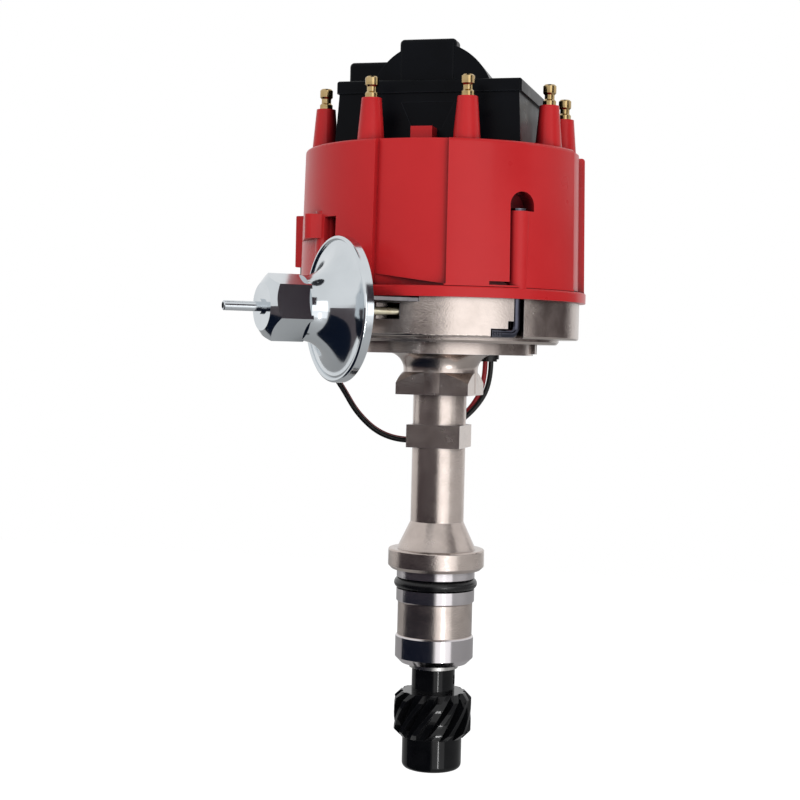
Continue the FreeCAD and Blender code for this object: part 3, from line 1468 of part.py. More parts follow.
lower_bushing, upper_bushing = make_bushings()
pickup_plate, pickup_magnet, pickup_coil, pole_piece, pole_screws = make_pickup()
rotor, rotor_contact, rotor_screws = make_rotor()
ignition_module, module_screws = make_module()
vacuum_front, vacuum_rear, vacuum_diaphragm, vacuum_spring = make_vacuum_can()
tower_terminals, spark_contacts = make_terminals()
carbon_button, button_spring = make_button()
latch_rods, latch_washers, latch_springs = make_latches()
ignition_coil, coil_core, coil_screws = make_coil()
harness_plug, connector_blades = make_plug()
weight = make_weight()
weight_spring = make_weight_spring()

parts = {
    "housing": make_housing(),
    "lower_bushing": lower_bushing,
    "upper_bushing": upper_bushing,
    "o_ring": make_o_ring(),
    "main_shaft": make_shaft(),
    "drive_gear": make_drive_gear(),
    "gear_roll_pin": make_gear_pin(),
    "thrust_washers": make_thrust_washers(),
    "centre_cam": make_centre_cam(),
    "weight_base": make_weight_base(),
    "timer_core": make_timer_core(),
    "weight_right": weight,
    "weight_left": at_bearing(weight, 180),
    "weight_springs": group([weight_spring, at_bearing(weight_spring, 180)]),
    "rotor": rotor,
    "rotor_contact": rotor_contact,
    "rotor_screws": rotor_screws,
    "pickup_plate": pickup_plate,
    "pickup_magnet": pickup_magnet,
    "pickup_coil": pickup_coil,
    "pole_piece": pole_piece,
    "pole_screws": pole_screws,
    "pickup_retainer": make_pickup_retainer(),
    "ignition_module": ignition_module,
    "module_screws": module_screws,
    "capacitor": make_capacitor(),
    "vacuum_front_shell": vacuum_front,
    "vacuum_rear_shell": vacuum_rear,
    "vacuum_diaphragm": vacuum_diaphragm,
    "vacuum_spring": vacuum_spring,
    "vacuum_nipple": make_nipple(),
    "vacuum_rod": make_vacuum_rod(),
    "vacuum_bracket": make_strap(),
    "bracket_screws": make_strap_screws(),
    "cap": make_cap(),
    "tower_terminals": tower_terminals,
    "spark_contacts": spark_contacts,
    "carbon_button": carbon_button,
    "button_spring": button_spring,
    "ignition_coil": ignition_coil,
    "coil_core": coil_core,
    "coil_screws": coil_screws,
    "coil_cover": make_cover(),
    "connector_blades": connector_blades,
    "harness_plug": harness_plug,
    "harness_grommet": make_grommet(),
    "harness_black_wire": make_wire(black_route, "harness_black_wire"),
    "harness_red_wire": make_wire(red_route, "harness_red_wire"),
}
for latch_name, rod, washer, spring in zip(latch_names, latch_rods, latch_washers, latch_springs):
    parts["latch_rod_" + latch_name] = rod
    parts["latch_washer_" + latch_name] = washer
    parts["latch_spring_" + latch_name] = spring
export(parts)
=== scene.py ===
import math

import bpy
from mathutils import Matrix, Vector


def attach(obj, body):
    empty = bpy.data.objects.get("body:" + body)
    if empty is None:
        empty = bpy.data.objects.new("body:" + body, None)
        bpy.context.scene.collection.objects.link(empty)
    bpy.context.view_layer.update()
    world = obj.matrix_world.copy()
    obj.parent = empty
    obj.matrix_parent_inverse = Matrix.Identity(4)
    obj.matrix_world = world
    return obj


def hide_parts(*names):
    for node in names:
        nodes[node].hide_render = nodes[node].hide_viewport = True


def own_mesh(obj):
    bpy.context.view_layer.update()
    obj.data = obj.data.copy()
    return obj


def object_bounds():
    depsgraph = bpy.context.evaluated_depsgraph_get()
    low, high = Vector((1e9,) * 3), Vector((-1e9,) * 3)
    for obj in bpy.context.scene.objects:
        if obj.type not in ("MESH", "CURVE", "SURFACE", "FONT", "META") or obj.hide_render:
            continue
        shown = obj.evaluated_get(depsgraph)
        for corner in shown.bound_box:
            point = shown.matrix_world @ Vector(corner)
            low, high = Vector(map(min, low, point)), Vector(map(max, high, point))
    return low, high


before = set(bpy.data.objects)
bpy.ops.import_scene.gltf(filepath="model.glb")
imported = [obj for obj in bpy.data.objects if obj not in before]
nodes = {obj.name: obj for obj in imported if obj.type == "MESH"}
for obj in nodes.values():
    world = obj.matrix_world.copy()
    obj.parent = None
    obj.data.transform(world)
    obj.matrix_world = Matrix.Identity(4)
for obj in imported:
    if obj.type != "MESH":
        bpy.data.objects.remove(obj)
cadLow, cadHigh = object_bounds()
scene = bpy.context.scene
print("frame loaded:", len(nodes), "nodes")

# Camera, solved from the photograph's perspective: angles in degrees, lengths in metres
viewpoint = {
    "bearing": 13.4,
    "distance": 0.795,
    "height": 0.1078,
    "yaw": -1.434,
    "pitch": -1.723,
    "roll": 1.326,
    "lens": 71.6,
    "sensor": 36.0,
    "clipEnd": 20,
}


def makeCamera():
    yaw, pitch = math.radians(viewpoint["yaw"]), math.radians(viewpoint["pitch"])
    forward = Vector((math.sin(yaw) * math.cos(pitch), math.cos(yaw) * math.cos(pitch), math.sin(pitch)))
    level = Vector((math.cos(yaw), -math.sin(yaw), 0))
    rise = level.cross(forward)
    roll = math.radians(viewpoint["roll"])
    right = level * math.cos(roll) + rise * math.sin(roll)
    up = rise * math.cos(roll) - level * math.sin(roll)
    place = Vector((0, -viewpoint["distance"], viewpoint["height"]))
    turn = Matrix.Rotation(math.radians(viewpoint["bearing"]), 4, "Z")
    axes = Matrix((right, up, -forward)).transposed().to_4x4()
    camera = bpy.data.objects.new("camera", bpy.data.cameras.new("camera"))
    camera.data.sensor_width = viewpoint["sensor"]
    camera.data.lens = viewpoint["lens"]
    camera.data.clip_end = viewpoint["clipEnd"]
    camera.matrix_world = turn @ Matrix.Translation(place) @ axes
    scene.collection.objects.link(camera)
    scene.camera = camera


makeCamera()
print("camera set")

# Wires: radius and lengths in metres, and control points as (across, back, up) in millimetres,
# in a frame that is turned with the view
harness = {
    "turn": 13.4,
    "perMetre": 1000,
    "radius": 0.0013,
    "stepsAlong": 12,
    "stepsAround": 5,
    "blackLength": 0.1763,
    "redLength": 0.173,
    "blackRoute": (
        (26.0, 29.0, 104.0),
        (26.0, 29.0, 92.5),
        (18.9, 29.2, 79.5),
        (5.3, 28.0, 68.2),
        (-11.8, 25.4, 61.5),
        (-29.4, 24.0, 64.2),
        (-42.4, 24.4, 75.2),
        (-50.8, 26.8, 89.2),
        (-59.4, 30.4, 100.5),
        (-67.0, 32.1, 113.2),
        (-71.8, 27.2, 125.0),
        (-69.9, 25.8, 136.5),
        (-69.9, 25.8, 146.0),
    ),
    "redRoute": (
        (23.0, 29.0, 104.0),
        (23.0, 29.0, 93.5),
        (17.6, 31.0, 80.8),
        (5.0, 31.1, 68.9),
        (-11.9, 28.6, 62.0),
        (-29.3, 27.2, 64.6),
        (-42.2, 27.6, 75.4),
        (-50.6, 30.0, 89.3),
        (-59.2, 33.8, 100.8),
        (-66.8, 35.6, 113.3),
        (-71.2, 30.4, 125.0),
        (-68.9, 28.6, 136.5),
        (-68.9, 28.6, 146.0),
    ),
}


def wirePoint(across, back, up):
    turn = math.radians(harness["turn"])
    return Vector((across * math.cos(turn) - back * math.sin(turn),
                   across * math.sin(turn) + back * math.cos(turn), up)) / harness["perMetre"]


def makeWire(name, route):
    points = [wirePoint(*point) for point in route]
    curve = bpy.data.curves.new(name, "CURVE")
    curve.dimensions = "3D"
    spline = curve.splines.new("NURBS")
    spline.points.add(len(points) - 1)
    for knot, point in zip(spline.points, points):
        knot.co = (*point, 1)
        knot.radius = harness["radius"]
    spline.order_u = 3
    spline.use_endpoint_u = True
    spline.resolution_u = harness["stepsAlong"]
    curve.bevel_depth = 1  # the points' own radius sets the thickness
    curve.bevel_resolution = harness["stepsAround"]
    curve.use_fill_caps = True
    wire = bpy.data.objects.new(name, curve)
    scene.collection.objects.link(wire)
    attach(wire, "distributor")
    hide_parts("harness_" + name)
    return wire


blackWire = makeWire("black_wire", harness["blackRoute"])
redWire = makeWire("red_wire", harness["redRoute"])
print("wires made")


# Shared effects as node groups
def addNode(tree, kind, **settings):
    node = tree.nodes.new(kind)
    for key, value in settings.items():
        setattr(node, key, value)
    return node


def mapRange(tree, source, fromLow, fromHigh, toLow, toHigh):
    node = addNode(tree, "ShaderNodeMapRange")
    ends = {"From Min": fromLow, "From Max": fromHigh, "To Min": toLow, "To Max": toHigh}
    for socketName, value in ends.items():
        node.inputs[socketName].default_value = value
    tree.links.new(source, node.inputs["Value"])
    return node


def startGroup(name, inputNames, outputNames):
    # A new group whose sockets take and give numbers, with its two end nodes
    group = bpy.data.node_groups.new(name, "ShaderNodeTree")
    for side, socketNames in (("INPUT", inputNames), ("OUTPUT", outputNames)):
        for socketName in socketNames:
            group.interface.new_socket(name=socketName, in_out=side, socket_type="NodeSocketFloat")
    return group, addNode(group, "NodeGroupInput"), addNode(group, "NodeGroupOutput")


def makeEdgeGroup():
    # Mask that is 1 along sharp edges, where a rounded normal departs from the true one
    group, start, end = startGroup("edgeWear", ["Width", "Gain"], ["Mask"])
    bevel = addNode(group, "ShaderNodeBevel", samples=4)
    geometry = addNode(group, "ShaderNodeNewGeometry")
    dot = addNode(group, "ShaderNodeVectorMath", operation="DOT_PRODUCT")
    away = addNode(group, "ShaderNodeMath", operation="SUBTRACT")
    away.inputs[0].default_value = 1.0
    gain = addNode(group, "ShaderNodeMath", operation="MULTIPLY", use_clamp=True)
    group.links.new(start.outputs["Width"], bevel.inputs["Radius"])
    group.links.new(bevel.outputs["Normal"], dot.inputs[0])
    group.links.new(geometry.outputs["Normal"], dot.inputs[1])
    group.links.new(dot.outputs["Value"], away.inputs[1])
    group.links.new(away.outputs["Value"], gain.inputs[0])
    group.links.new(start.outputs["Gain"], gain.inputs[1])
    group.links.new(gain.outputs["Value"], end.inputs["Mask"])
    return group


def makeGrainGroup():
    # Fine and coarse noise over the piece, at scales given per metre
    group, start, end = startGroup("surfaceGrain", ["Fine Scale", "Coarse Scale"], ["Fine", "Coarse"])
    place = addNode(group, "ShaderNodeTexCoord")
    for name, scaleName, detail in (("Fine", "Fine Scale", 3.0), ("Coarse", "Coarse Scale", 4.0)):
        noise = addNode(group, "ShaderNodeTexNoise")
        noise.inputs["Detail"].default_value = detail
        group.links.new(place.outputs["Object"], noise.inputs["Vector"])
        group.links.new(start.outputs[scaleName], noise.inputs["Scale"])
        group.links.new(noise.outputs["Fac"], end.inputs[name])
    return group


def makeSpanGroup():
    # Mask that is 1 where the height above the seat lies between two values
    group, start, end = startGroup("heightSpan", ["Low", "High"], ["Mask"])
    place = addNode(group, "ShaderNodeTexCoord")
    split = addNode(group, "ShaderNodeSeparateXYZ")
    over = addNode(group, "ShaderNodeMath", operation="GREATER_THAN")
    under = addNode(group, "ShaderNodeMath", operation="LESS_THAN")
    both = addNode(group, "ShaderNodeMath", operation="MULTIPLY")
    group.links.new(place.outputs["Object"], split.inputs["Vector"])
    group.links.new(split.outputs["Z"], over.inputs[0])
    group.links.new(start.outputs["Low"], over.inputs[1])
    group.links.new(split.outputs["Z"], under.inputs[0])
    group.links.new(start.outputs["High"], under.inputs[1])
    group.links.new(over.outputs["Value"], both.inputs[0])
    group.links.new(under.outputs["Value"], both.inputs[1])
    group.links.new(both.outputs["Value"], end.inputs["Mask"])
    return group


# How open the space round a point is, from 0 to 1, deep in a recess and on a free surface: the painted
# shade is full at the first and gone at the second
openness = {"recess": 0.25, "surface": 0.75}


def makePaintedShadeGroup():
    # Painted shade: a mask from ambient occlusion that is 1 deep inside recesses and 0 on open surfaces,
    # so that a dark colour stands in for the shade there
    group, start, end = startGroup("paintedRecessShade", ["Reach"], ["Mask"])
    around = addNode(group, "ShaderNodeAmbientOcclusion", samples=6)
    turned = mapRange(group, around.outputs["AO"], openness["recess"], openness["surface"], 1, 0)
    group.links.new(start.outputs["Reach"], around.inputs["Distance"])
    group.links.new(turned.outputs["Result"], end.inputs["Mask"])
    return group


edgeGroup = makeEdgeGroup()
grainGroup = makeGrainGroup()
paintedShadeGroup = makePaintedShadeGroup()
spanGroup = makeSpanGroup()
print("node groups made")

grainSpread = (0.3, 0.7)  # the part of the noise's range that a finish uses


def useGroup(tree, group, **values):
    node = addNode(tree, "ShaderNodeGroup", node_tree=group)
    for key, value in values.items():
        node.inputs[key].default_value = value
    return node


def mixColour(tree, factor, first, second):
    # One plain colour turns into the other: inputs 6 and 7 take the colours, output 2 gives the mix
    node = addNode(tree, "ShaderNodeMix", data_type="RGBA")
    node.inputs[6].default_value = (*first, 1)
    node.inputs[7].default_value = (*second, 1)
    tree.links.new(factor, node.inputs[0])
    return node


def overlayColour(tree, base, mask, colour):
    # A plain colour over what is there, where the mask is 1
    node = addNode(tree, "ShaderNodeMix", data_type="RGBA")
    node.inputs[7].default_value = (*colour, 1)
    tree.links.new(mask, node.inputs[0])
    tree.links.new(base.outputs[2], node.inputs[6])
    return node


def useGrain(tree, look):
    # The grain at the look's scales, and its two colours mixed by the coarse noise
    scales = {"Fine Scale": look["fineScale"], "Coarse Scale": look["coarseScale"]}
    grain = useGroup(tree, grainGroup, **scales)
    share = mapRange(tree, grain.outputs["Coarse"], *grainSpread, 0, 1)
    return grain, mixColour(tree, share.outputs[0], look["dark"], look["light"])


def newMaterial(name, **sockets):
    material = bpy.data.materials.new(name)
    material.use_nodes = True
    shader = material.node_tree.nodes["Principled BSDF"]
    for key, value in sockets.items():
        shader.inputs[key].default_value = value
    return material, material.node_tree, shader


def addBump(tree, shader, height, strength, distance):
    bump = addNode(tree, "ShaderNodeBump")
    bump.inputs["Strength"].default_value = strength
    bump.inputs["Distance"].default_value = distance
    tree.links.new(height, bump.inputs["Height"])
    tree.links.new(bump.outputs["Normal"], shader.inputs["Normal"])


def grainFinish(name, look):
    # Grain in colour, roughness and bump, with paler edges, and painted shade in recesses where the look
    # has it
    material, tree, shader = newMaterial(name, Metallic=look.get("metallic", 0.0))
    shader.inputs["Coat Weight"].default_value = look.get("coat", 0.0)
    shader.inputs["Coat Roughness"].default_value = look.get("coatRoughness", 0.1)
    shader.inputs["Specular IOR Level"].default_value = look.get("specular", 0.5)
    grain, base = useGrain(tree, look)
    if "edge" in look:
        wear = useGroup(tree, edgeGroup, Width=look["edgeWidth"], Gain=look["edgeGain"])
        base = overlayColour(tree, base, wear.outputs["Mask"], look["edge"])
    # Painted shade: a dark colour laid into the recesses, standing in for the shade there
    if "paintedRecessShade" in look:
        recess = useGroup(tree, paintedShadeGroup, Reach=look["reach"])
        base = overlayColour(tree, base, recess.outputs["Mask"], look["paintedRecessShade"])
    tree.links.new(base.outputs[2], shader.inputs["Base Color"])
    rough = mapRange(tree, grain.outputs["Coarse"], *grainSpread, look["roughLow"], look["roughHigh"])
    tree.links.new(rough.outputs[0], shader.inputs["Roughness"])
    addBump(tree, shader, grain.outputs["Fine"], look["bump"], look["bumpDepth"])
    return material


# Finishes: plain colours, widths, reaches of the painted recess shade and bump depths in metres, grain
# scales per metre
finishes = {
    "capRed": {"dark": (0.62, 0.020, 0.024), "light": (0.67, 0.025, 0.029), "edge": (0.76, 0.06, 0.06),
               # Painted shade in the cap's recesses, and how far it reaches
               "paintedRecessShade": (0.07, 0.004, 0.008), "reach": 0.014, "edgeWidth": 0.0005, "edgeGain": 1.0,
               "roughLow": 0.26, "roughHigh": 0.34, "specular": 0.20, "coat": 0.04, "coatRoughness": 0.08,
               "fineScale": 2600.0, "coarseScale": 30.0, "bump": 0.03, "bumpDepth": 0.0001},
    "coverBlack": {"dark": (0.0022, 0.0027, 0.0040), "light": (0.0040, 0.0048, 0.0070),
                   "edge": (0.030, 0.034, 0.042), "edgeWidth": 0.0006, "edgeGain": 1.6, "roughLow": 0.26,
                   "roughHigh": 0.36, "specular": 0.07, "fineScale": 1500.0, "coarseScale": 70.0,
                   "bump": 0.06, "bumpDepth": 0.0002},
    "mouldedBlack": {"dark": (0.006, 0.006, 0.007), "light": (0.011, 0.011, 0.012), "roughLow": 0.42,
                     "roughHigh": 0.56, "specular": 0.35, "fineScale": 1800.0, "coarseScale": 120.0,
                     "bump": 0.1, "bumpDepth": 0.0002},
    "sealRubber": {"dark": (0.0030, 0.0030, 0.0036), "light": (0.0056, 0.0056, 0.0066), "roughLow": 0.22,
                   "roughHigh": 0.34, "specular": 0.4, "fineScale": 2200.0, "coarseScale": 150.0,
                   "bump": 0.06, "bumpDepth": 0.0001},
    "wireBlack": {"dark": (0.0030, 0.0030, 0.0036), "light": (0.0056, 0.0056, 0.0066), "roughLow": 0.32,
                  "roughHigh": 0.45, "specular": 0.35, "fineScale": 2500.0, "coarseScale": 200.0,
                  "bump": 0.05, "bumpDepth": 0.0001},
    "wireRed": {"dark": (0.30, 0.010, 0.016), "light": (0.40, 0.014, 0.022), "roughLow": 0.34,
                "roughHigh": 0.46, "specular": 0.35, "fineScale": 2500.0, "coarseScale": 200.0,
                "bump": 0.05, "bumpDepth": 0.0001},
    "gearBlack": {"dark": (0.0026, 0.0028, 0.0034), "light": (0.0060, 0.0062, 0.0072),
                  "edge": (0.03, 0.03, 0.033), "edgeWidth": 0.0005, "edgeGain": 1.2, "roughLow": 0.14,
                  "roughHigh": 0.22, "specular": 0.08, "coat": 0.35, "coatRoughness": 0.03,
                  "fineScale": 1500.0, "coarseScale": 140.0, "bump": 0.05, "bumpDepth": 0.0001},
    "latchBlack": {"dark": (0.05, 0.052, 0.07), "light": (0.09, 0.092, 0.12), "edge": (0.40, 0.40, 0.42),
                   "edgeWidth": 0.0006, "edgeGain": 1.5, "metallic": 1.0, "roughLow": 0.14,
                   "roughHigh": 0.24, "fineScale": 1500.0, "coarseScale": 140.0, "bump": 0.06,
                   "bumpDepth": 0.0002},
    "terminalBrass": {"dark": (0.38, 0.26, 0.11), "light": (0.54, 0.40, 0.20), "edge": (0.84, 0.72, 0.50),
                      "edgeWidth": 0.0005, "edgeGain": 2.0, "metallic": 1.0, "roughLow": 0.14,
                      "roughHigh": 0.26, "fineScale": 1500.0, "coarseScale": 300.0, "bump": 0.06,
                      "bumpDepth": 0.0002},
    "yellowZinc": {"dark": (0.72, 0.64, 0.44), "light": (0.84, 0.79, 0.62), "metallic": 1.0,
                   "roughLow": 0.26, "roughHigh": 0.38, "fineScale": 1500.0, "coarseScale": 300.0,
                   "bump": 0.05, "bumpDepth": 0.0001},
    "brightZinc": {"dark": (0.60, 0.64, 0.67), "light": (0.68, 0.72, 0.75), "metallic": 1.0,
                   "roughLow": 0.10, "roughHigh": 0.15, "fineScale": 900.0, "coarseScale": 50.0,
                   "bump": 0.02, "bumpDepth": 0.0001},
    "greySteel": {"dark": (0.16, 0.15, 0.16), "light": (0.26, 0.25, 0.26), "metallic": 1.0,
                  "roughLow": 0.24, "roughHigh": 0.36, "fineScale": 1500.0, "coarseScale": 200.0,
                  "bump": 0.05, "bumpDepth": 0.0001},
    "plainSteel": {"dark": (0.42, 0.41, 0.40), "light": (0.56, 0.55, 0.54), "metallic": 1.0,
                   "roughLow": 0.24, "roughHigh": 0.38, "fineScale": 1500.0, "coarseScale": 200.0,
                   "bump": 0.05, "bumpDepth": 0.0001},
    "bushingBronze": {"dark": (0.35, 0.20, 0.09), "light": (0.46, 0.29, 0.14), "metallic": 1.0,
                      "roughLow": 0.34, "roughHigh": 0.5, "fineScale": 2500.0, "coarseScale": 300.0,
                      "bump": 0.12, "bumpDepth": 0.0001},
}
materials = {name: grainFinish(name, look) for name, look in finishes.items()}

# The housing's cast skin, with turned lands between some heights
castAluminium = {
    "dark": (0.48, 0.415, 0.38),
    "light": (0.59, 0.515, 0.475),
    "machined": (0.62, 0.59, 0.605),
    # Painted shade in the housing's recesses, and how far it reaches
    "paintedRecessShade": (0.05, 0.042, 0.042),
    "reach": 0.010,
    "edgeWidth": 0.0008,
    "edgeGain": 1.5,
    "castRough": (0.20, 0.28),
    "machinedRough": 0.15,
    "fineScale": 1100.0,
    "coarseScale": 110.0,
    "bump": 0.14,
    "bumpDepth": 0.0004,
    # Turning marks: noise squeezed along the shaft's axis
    "markScale": (60.0, 60.0, 2600.0),
    "markDetail": 2.0,
    "markHeight": 0.12,
    # The two turned lands below the collar, as heights above the seat
    "lands": ((-0.0475, -0.0331), (-0.0161, -0.00005)),
}


def makeCastAluminium():
    look = castAluminium
    material, tree, shader = newMaterial("castAluminium", Metallic=1.0)
    grain, base = useGrain(tree, look)
    masks = [useGroup(tree, spanGroup, Low=low, High=high) for low, high in look["lands"]]
    land = addNode(tree, "ShaderNodeMath", operation="MAXIMUM")
    tree.links.new(masks[0].outputs["Mask"], land.inputs[0])
    tree.links.new(masks[1].outputs["Mask"], land.inputs[1])
    wear = useGroup(tree, edgeGroup, Width=look["edgeWidth"], Gain=look["edgeGain"])
    bright = addNode(tree, "ShaderNodeMath", operation="MAXIMUM")
    tree.links.new(land.outputs[0], bright.inputs[0])
    tree.links.new(wear.outputs["Mask"], bright.inputs[1])
    colour = overlayColour(tree, base, bright.outputs[0], look["machined"])
    # Painted shade over the recesses, on top of the cast and turned colours
    recess = useGroup(tree, paintedShadeGroup, Reach=look["reach"])
    colour = overlayColour(tree, colour, recess.outputs["Mask"], look["paintedRecessShade"])
    tree.links.new(colour.outputs[2], shader.inputs["Base Color"])
    castRough = mapRange(tree, grain.outputs["Coarse"], *grainSpread, *look["castRough"])
    # A number Mix node takes its two values at inputs 2 and 3
    rough = addNode(tree, "ShaderNodeMix", data_type="FLOAT")
    rough.inputs[3].default_value = look["machinedRough"]
    tree.links.new(land.outputs[0], rough.inputs[0])
    tree.links.new(castRough.outputs[0], rough.inputs[2])
    tree.links.new(rough.outputs[0], shader.inputs["Roughness"])
    place = addNode(tree, "ShaderNodeTexCoord")
    squeeze = addNode(tree, "ShaderNodeVectorMath", operation="MULTIPLY")
    squeeze.inputs[1].default_value = look["markScale"]
    marks = addNode(tree, "ShaderNodeTexNoise")
    marks.inputs["Scale"].default_value = 1.0
    marks.inputs["Detail"].default_value = look["markDetail"]
    height = addNode(tree, "ShaderNodeMix", data_type="FLOAT")
    soft = addNode(tree, "ShaderNodeMath", operation="MULTIPLY")
    soft.inputs[1].default_value = look["markHeight"]
    tree.links.new(place.outputs["Object"], squeeze.inputs[0])
    tree.links.new(squeeze.outputs[0], marks.inputs["Vector"])
    tree.links.new(marks.outputs["Fac"], soft.inputs[0])
    tree.links.new(land.outputs[0], height.inputs[0])
    tree.links.new(grain.outputs["Fine"], height.inputs[2])
    tree.links.new(soft.outputs[0], height.inputs[3])
    addBump(tree, shader, height.outputs[0], look["bump"], look["bumpDepth"])
    return material


materials["castAluminium"] = makeCastAluminium()
print("finishes made:", len(materials))

# Which node has which finish: latch rods are latchBlack, and the rest are plainSteel
nodeFinish = {
    "castAluminium": ["housing"],
    "capRed": ["cap"],
    "coverBlack": ["coil_cover", "ignition_coil"],
    "mouldedBlack": ["rotor", "pickup_coil", "ignition_module", "harness_plug", "carbon_button",
                     "pickup_magnet"],
    "sealRubber": ["o_ring", "vacuum_diaphragm", "harness_grommet"],
    "gearBlack": ["drive_gear", "coil_core"],
    "terminalBrass": ["tower_terminals", "rotor_contact"],
    "yellowZinc": ["vacuum_rod", "pickup_plate"],
    "brightZinc": ["vacuum_front_shell", "vacuum_rear_shell", "vacuum_nipple"],
    "greySteel": ["vacuum_bracket", "bracket_screws"],
    "bushingBronze": ["lower_bushing", "upper_bushing"],
}


def dressNodes():
    finishOf = {node: finish for finish, names in nodeFinish.items() for node in names}
    for name, piece in nodes.items():
        finish = finishOf.get(name, "latchBlack" if name.startswith("latch_rod") else "plainSteel")
        piece.data.materials.clear()
        piece.data.materials.append(materials[finish])
    blackWire.data.materials.append(materials["wireBlack"])
    redWire.data.materials.append(materials["wireRed"])


# Edges: angles in degrees, and widths of the small roundings in metres
edges = {
    "smoothUpTo": 30,
    "roundFrom": 40,
    "segments": 2,
    "roundings": {"cap": 0.0006, "housing": 0.0004, "coil_cover": 0.0005, "drive_gear": 0.0003,
                  "tower_terminals": 0.0002, "vacuum_front_shell": 0.0003, "vacuum_nipple": 0.0001},
}


def softenEdges():
    # Smooth faces up to a sharp angle, with a small rounding on the edges that stay
    for name, piece in nodes.items():
        if piece.hide_render:
            continue
        piece.data.set_sharp_from_angle(angle=math.radians(edges["smoothUpTo"]))
        for polygon in piece.data.polygons:
            polygon.use_smooth = True
        if name in edges["roundings"]:
            bevel = piece.modifiers.new("rounding", "BEVEL")
            bevel.width = edges["roundings"][name]
            bevel.segments = edges["segments"]
            bevel.limit_method = "ANGLE"
            bevel.angle_limit = math.radians(edges["roundFrom"])
            bevel.harden_normals = True


# Springs, listed with the joint that shortens each one
springJoints = {
    "vacuum_spring": "vacuum_pull",
    "latch_spring_front_right": "latch_push_front_right",
    "latch_spring_front_left": "latch_push_front_left",
    "latch_spring_rear_right": "latch_push_rear_right",
    "latch_spring_rear_left": "latch_push_rear_left",
}


def squashSprings():
    # Each gets a mesh of its own
    for name, jointName in springJoints.items():
        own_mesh(nodes[name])


dressNodes()
softenEdges()
squashSprings()
print("nodes dressed")

# Studio: lengths in metres, and bearings in degrees from the camera, positive to its right
studio = {
    "floorSize": 8.0,
    "floorDrop": 0.45,
    "floorGrey": 0.8,
    "floorRough": 0.9,
    "floorGlow": 0.72,  # only the camera sees it, so that the lit floor reaches white
    # World strength for light and for reflections: the camera sees 1
    "worldLight": 0.45,
    "worldShine": 0.92,
    "lamps": (
        # name, bearing, height, distance, width, tall, watts, seen in reflections
        ("wideRight", 27.0, 0.00, 1.15, 0.98, 1.20, 3.6, True),
        ("stripRight", 26.0, -0.37, 1.10, 0.040, 0.30, 1.1, True),
        ("frontSoft", -26.0, 0.80, 1.30, 1.60, 0.80, 3.4, False),
    ),
    "cards": (
        # name, first bearing, last bearing, near point and far point as (distance, height), shade
        ("cardLeft", -100.0, -2.0, (0.90, -0.125), (0.90, 0.165), (0.19, 0.160, 0.172)),
        ("tableLeft", -110.0, -2.0, (0.05, -0.54), (0.90, -0.125), (0.010, 0.016, 0.034)),
        ("cardRight", 36.0, 70.0, (0.90, 0.27), (0.90, 0.75), (0.090, 0.065, 0.080)),
        ("cardEdge", 72.0, 130.0, (0.90, 0.04), (0.90, 0.27), (0.14, 0.115, 0.12)),
        ("cardAbove", 0.0, 360.0, (0.02, 1.00), (0.22, 1.00), (0.05, 0.05, 0.06)),
    ),
    "cardSteps": 18,
    "aim": (0.0, 0.0, 0.08),
}


def aroundPart(bearing, distance, height):
    angle = math.radians(viewpoint["bearing"] + bearing)
    return Vector((distance * math.sin(angle), -distance * math.cos(angle), height))


def makeLamp(name, bearing, height, distance, width, tall, watts, isReflected):
    lamp = bpy.data.lights.new(name, "AREA")
    lamp.shape = "RECTANGLE"
    lamp.size = width
    lamp.size_y = tall
    lamp.energy = watts
    holder = bpy.data.objects.new(name, lamp)
    holder.visible_glossy = isReflected
    place = aroundPart(bearing, distance, height)
    holder.location = place
    holder.rotation_mode = "QUATERNION"
    holder.rotation_quaternion = (Vector(studio["aim"]) - place).to_track_quat("-Z", "Y")
    scene.collection.objects.link(holder)


def makeCard(name, firstBearing, lastBearing, nearPoint, farPoint, shade):
    # A dark card beside the part that shows only in reflections
    steps = studio["cardSteps"]
    bearings = [firstBearing + (lastBearing - firstBearing) * i / steps for i in range(steps + 1)]
    points = [aroundPart(bearing, *point) for bearing in bearings for point in (nearPoint, farPoint)]
    faces = [(2 * i, 2 * i + 1, 2 * i + 3, 2 * i + 2) for i in range(steps)]
    mesh = bpy.data.meshes.new(name)
    mesh.from_pydata(points, [], faces)
    card = bpy.data.objects.new(name, mesh)
    scene.collection.objects.link(card)
    material, _, shader = newMaterial(name, Roughness=1.0)
    shader.inputs["Base Color"].default_value = (*shade, 1)
    shader.inputs["Specular IOR Level"].default_value = 0
    mesh.materials.append(material)
    card.visible_camera = False
    card.visible_diffuse = False
    card.visible_shadow = False


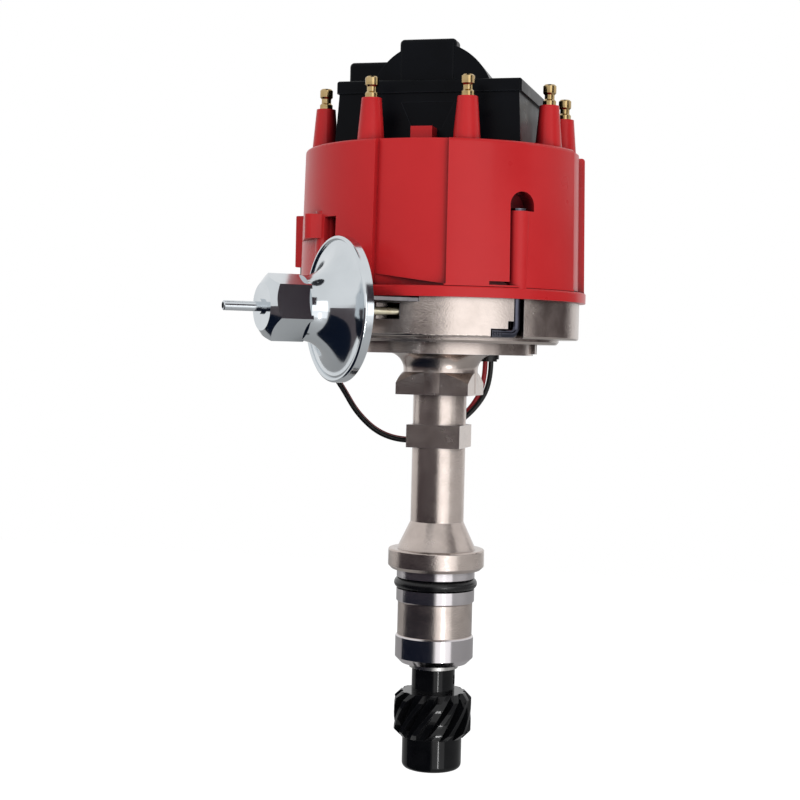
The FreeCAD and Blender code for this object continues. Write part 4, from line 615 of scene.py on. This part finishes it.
def makeWorld():
    world = bpy.data.worlds.new("studio")
    world.use_nodes = True
    tree = world.node_tree
    sky = tree.nodes["Background"]
    sky.inputs["Color"].default_value = (1, 1, 1, 1)
    path = addNode(tree, "ShaderNodeLightPath")
    polished = addNode(tree, "ShaderNodeMath", operation="MULTIPLY")
    polished.inputs[1].default_value = studio["worldShine"]
    seen = addNode(tree, "ShaderNodeMath", operation="MAXIMUM")
    strength = addNode(tree, "ShaderNodeMath", operation="MAXIMUM")
    strength.inputs[1].default_value = studio["worldLight"]
    tree.links.new(path.outputs["Is Camera Ray"], seen.inputs[0])
    tree.links.new(path.outputs["Is Glossy Ray"], polished.inputs[0])
    tree.links.new(polished.outputs[0], seen.inputs[1])
    tree.links.new(seen.outputs[0], strength.inputs[0])
    tree.links.new(strength.outputs[0], sky.inputs["Strength"])
    scene.world = world


def makeFloor():
    # White to the camera where it is lit, a little darker in the part's shadow
    half = studio["floorSize"] / 2
    level = cadLow.z - studio["floorDrop"]
    mesh = bpy.data.meshes.new("floor")
    corners = [(-half, -half, level), (half, -half, level), (half, half, level), (-half, half, level)]
    mesh.from_pydata(corners, [], [(0, 1, 2, 3)])
    floor = bpy.data.objects.new("floor", mesh)
    scene.collection.objects.link(floor)
    material, tree, shader = newMaterial("paleFloor", Roughness=studio["floorRough"])
    shader.inputs["Base Color"].default_value = (*[studio["floorGrey"]] * 3, 1)
    shader.inputs["Specular IOR Level"].default_value = 0
    glow = addNode(tree, "ShaderNodeEmission")
    glow.inputs["Strength"].default_value = studio["floorGlow"]
    path = addNode(tree, "ShaderNodeLightPath")
    choose = addNode(tree, "ShaderNodeMixShader")
    both = addNode(tree, "ShaderNodeAddShader")
    tree.links.new(path.outputs["Is Camera Ray"], choose.inputs[0])
    tree.links.new(glow.outputs[0], choose.inputs[2])
    tree.links.new(shader.outputs[0], both.inputs[0])
    tree.links.new(choose.outputs[0], both.inputs[1])
    tree.links.new(both.outputs[0], tree.nodes["Material Output"].inputs["Surface"])
    mesh.materials.append(material)


for lampValues in studio["lamps"]:
    makeLamp(*lampValues)
for cardValues in studio["cards"]:
    makeCard(*cardValues)
makeWorld()
makeFloor()
scene.view_settings.view_transform = "Standard"
print("studio set")
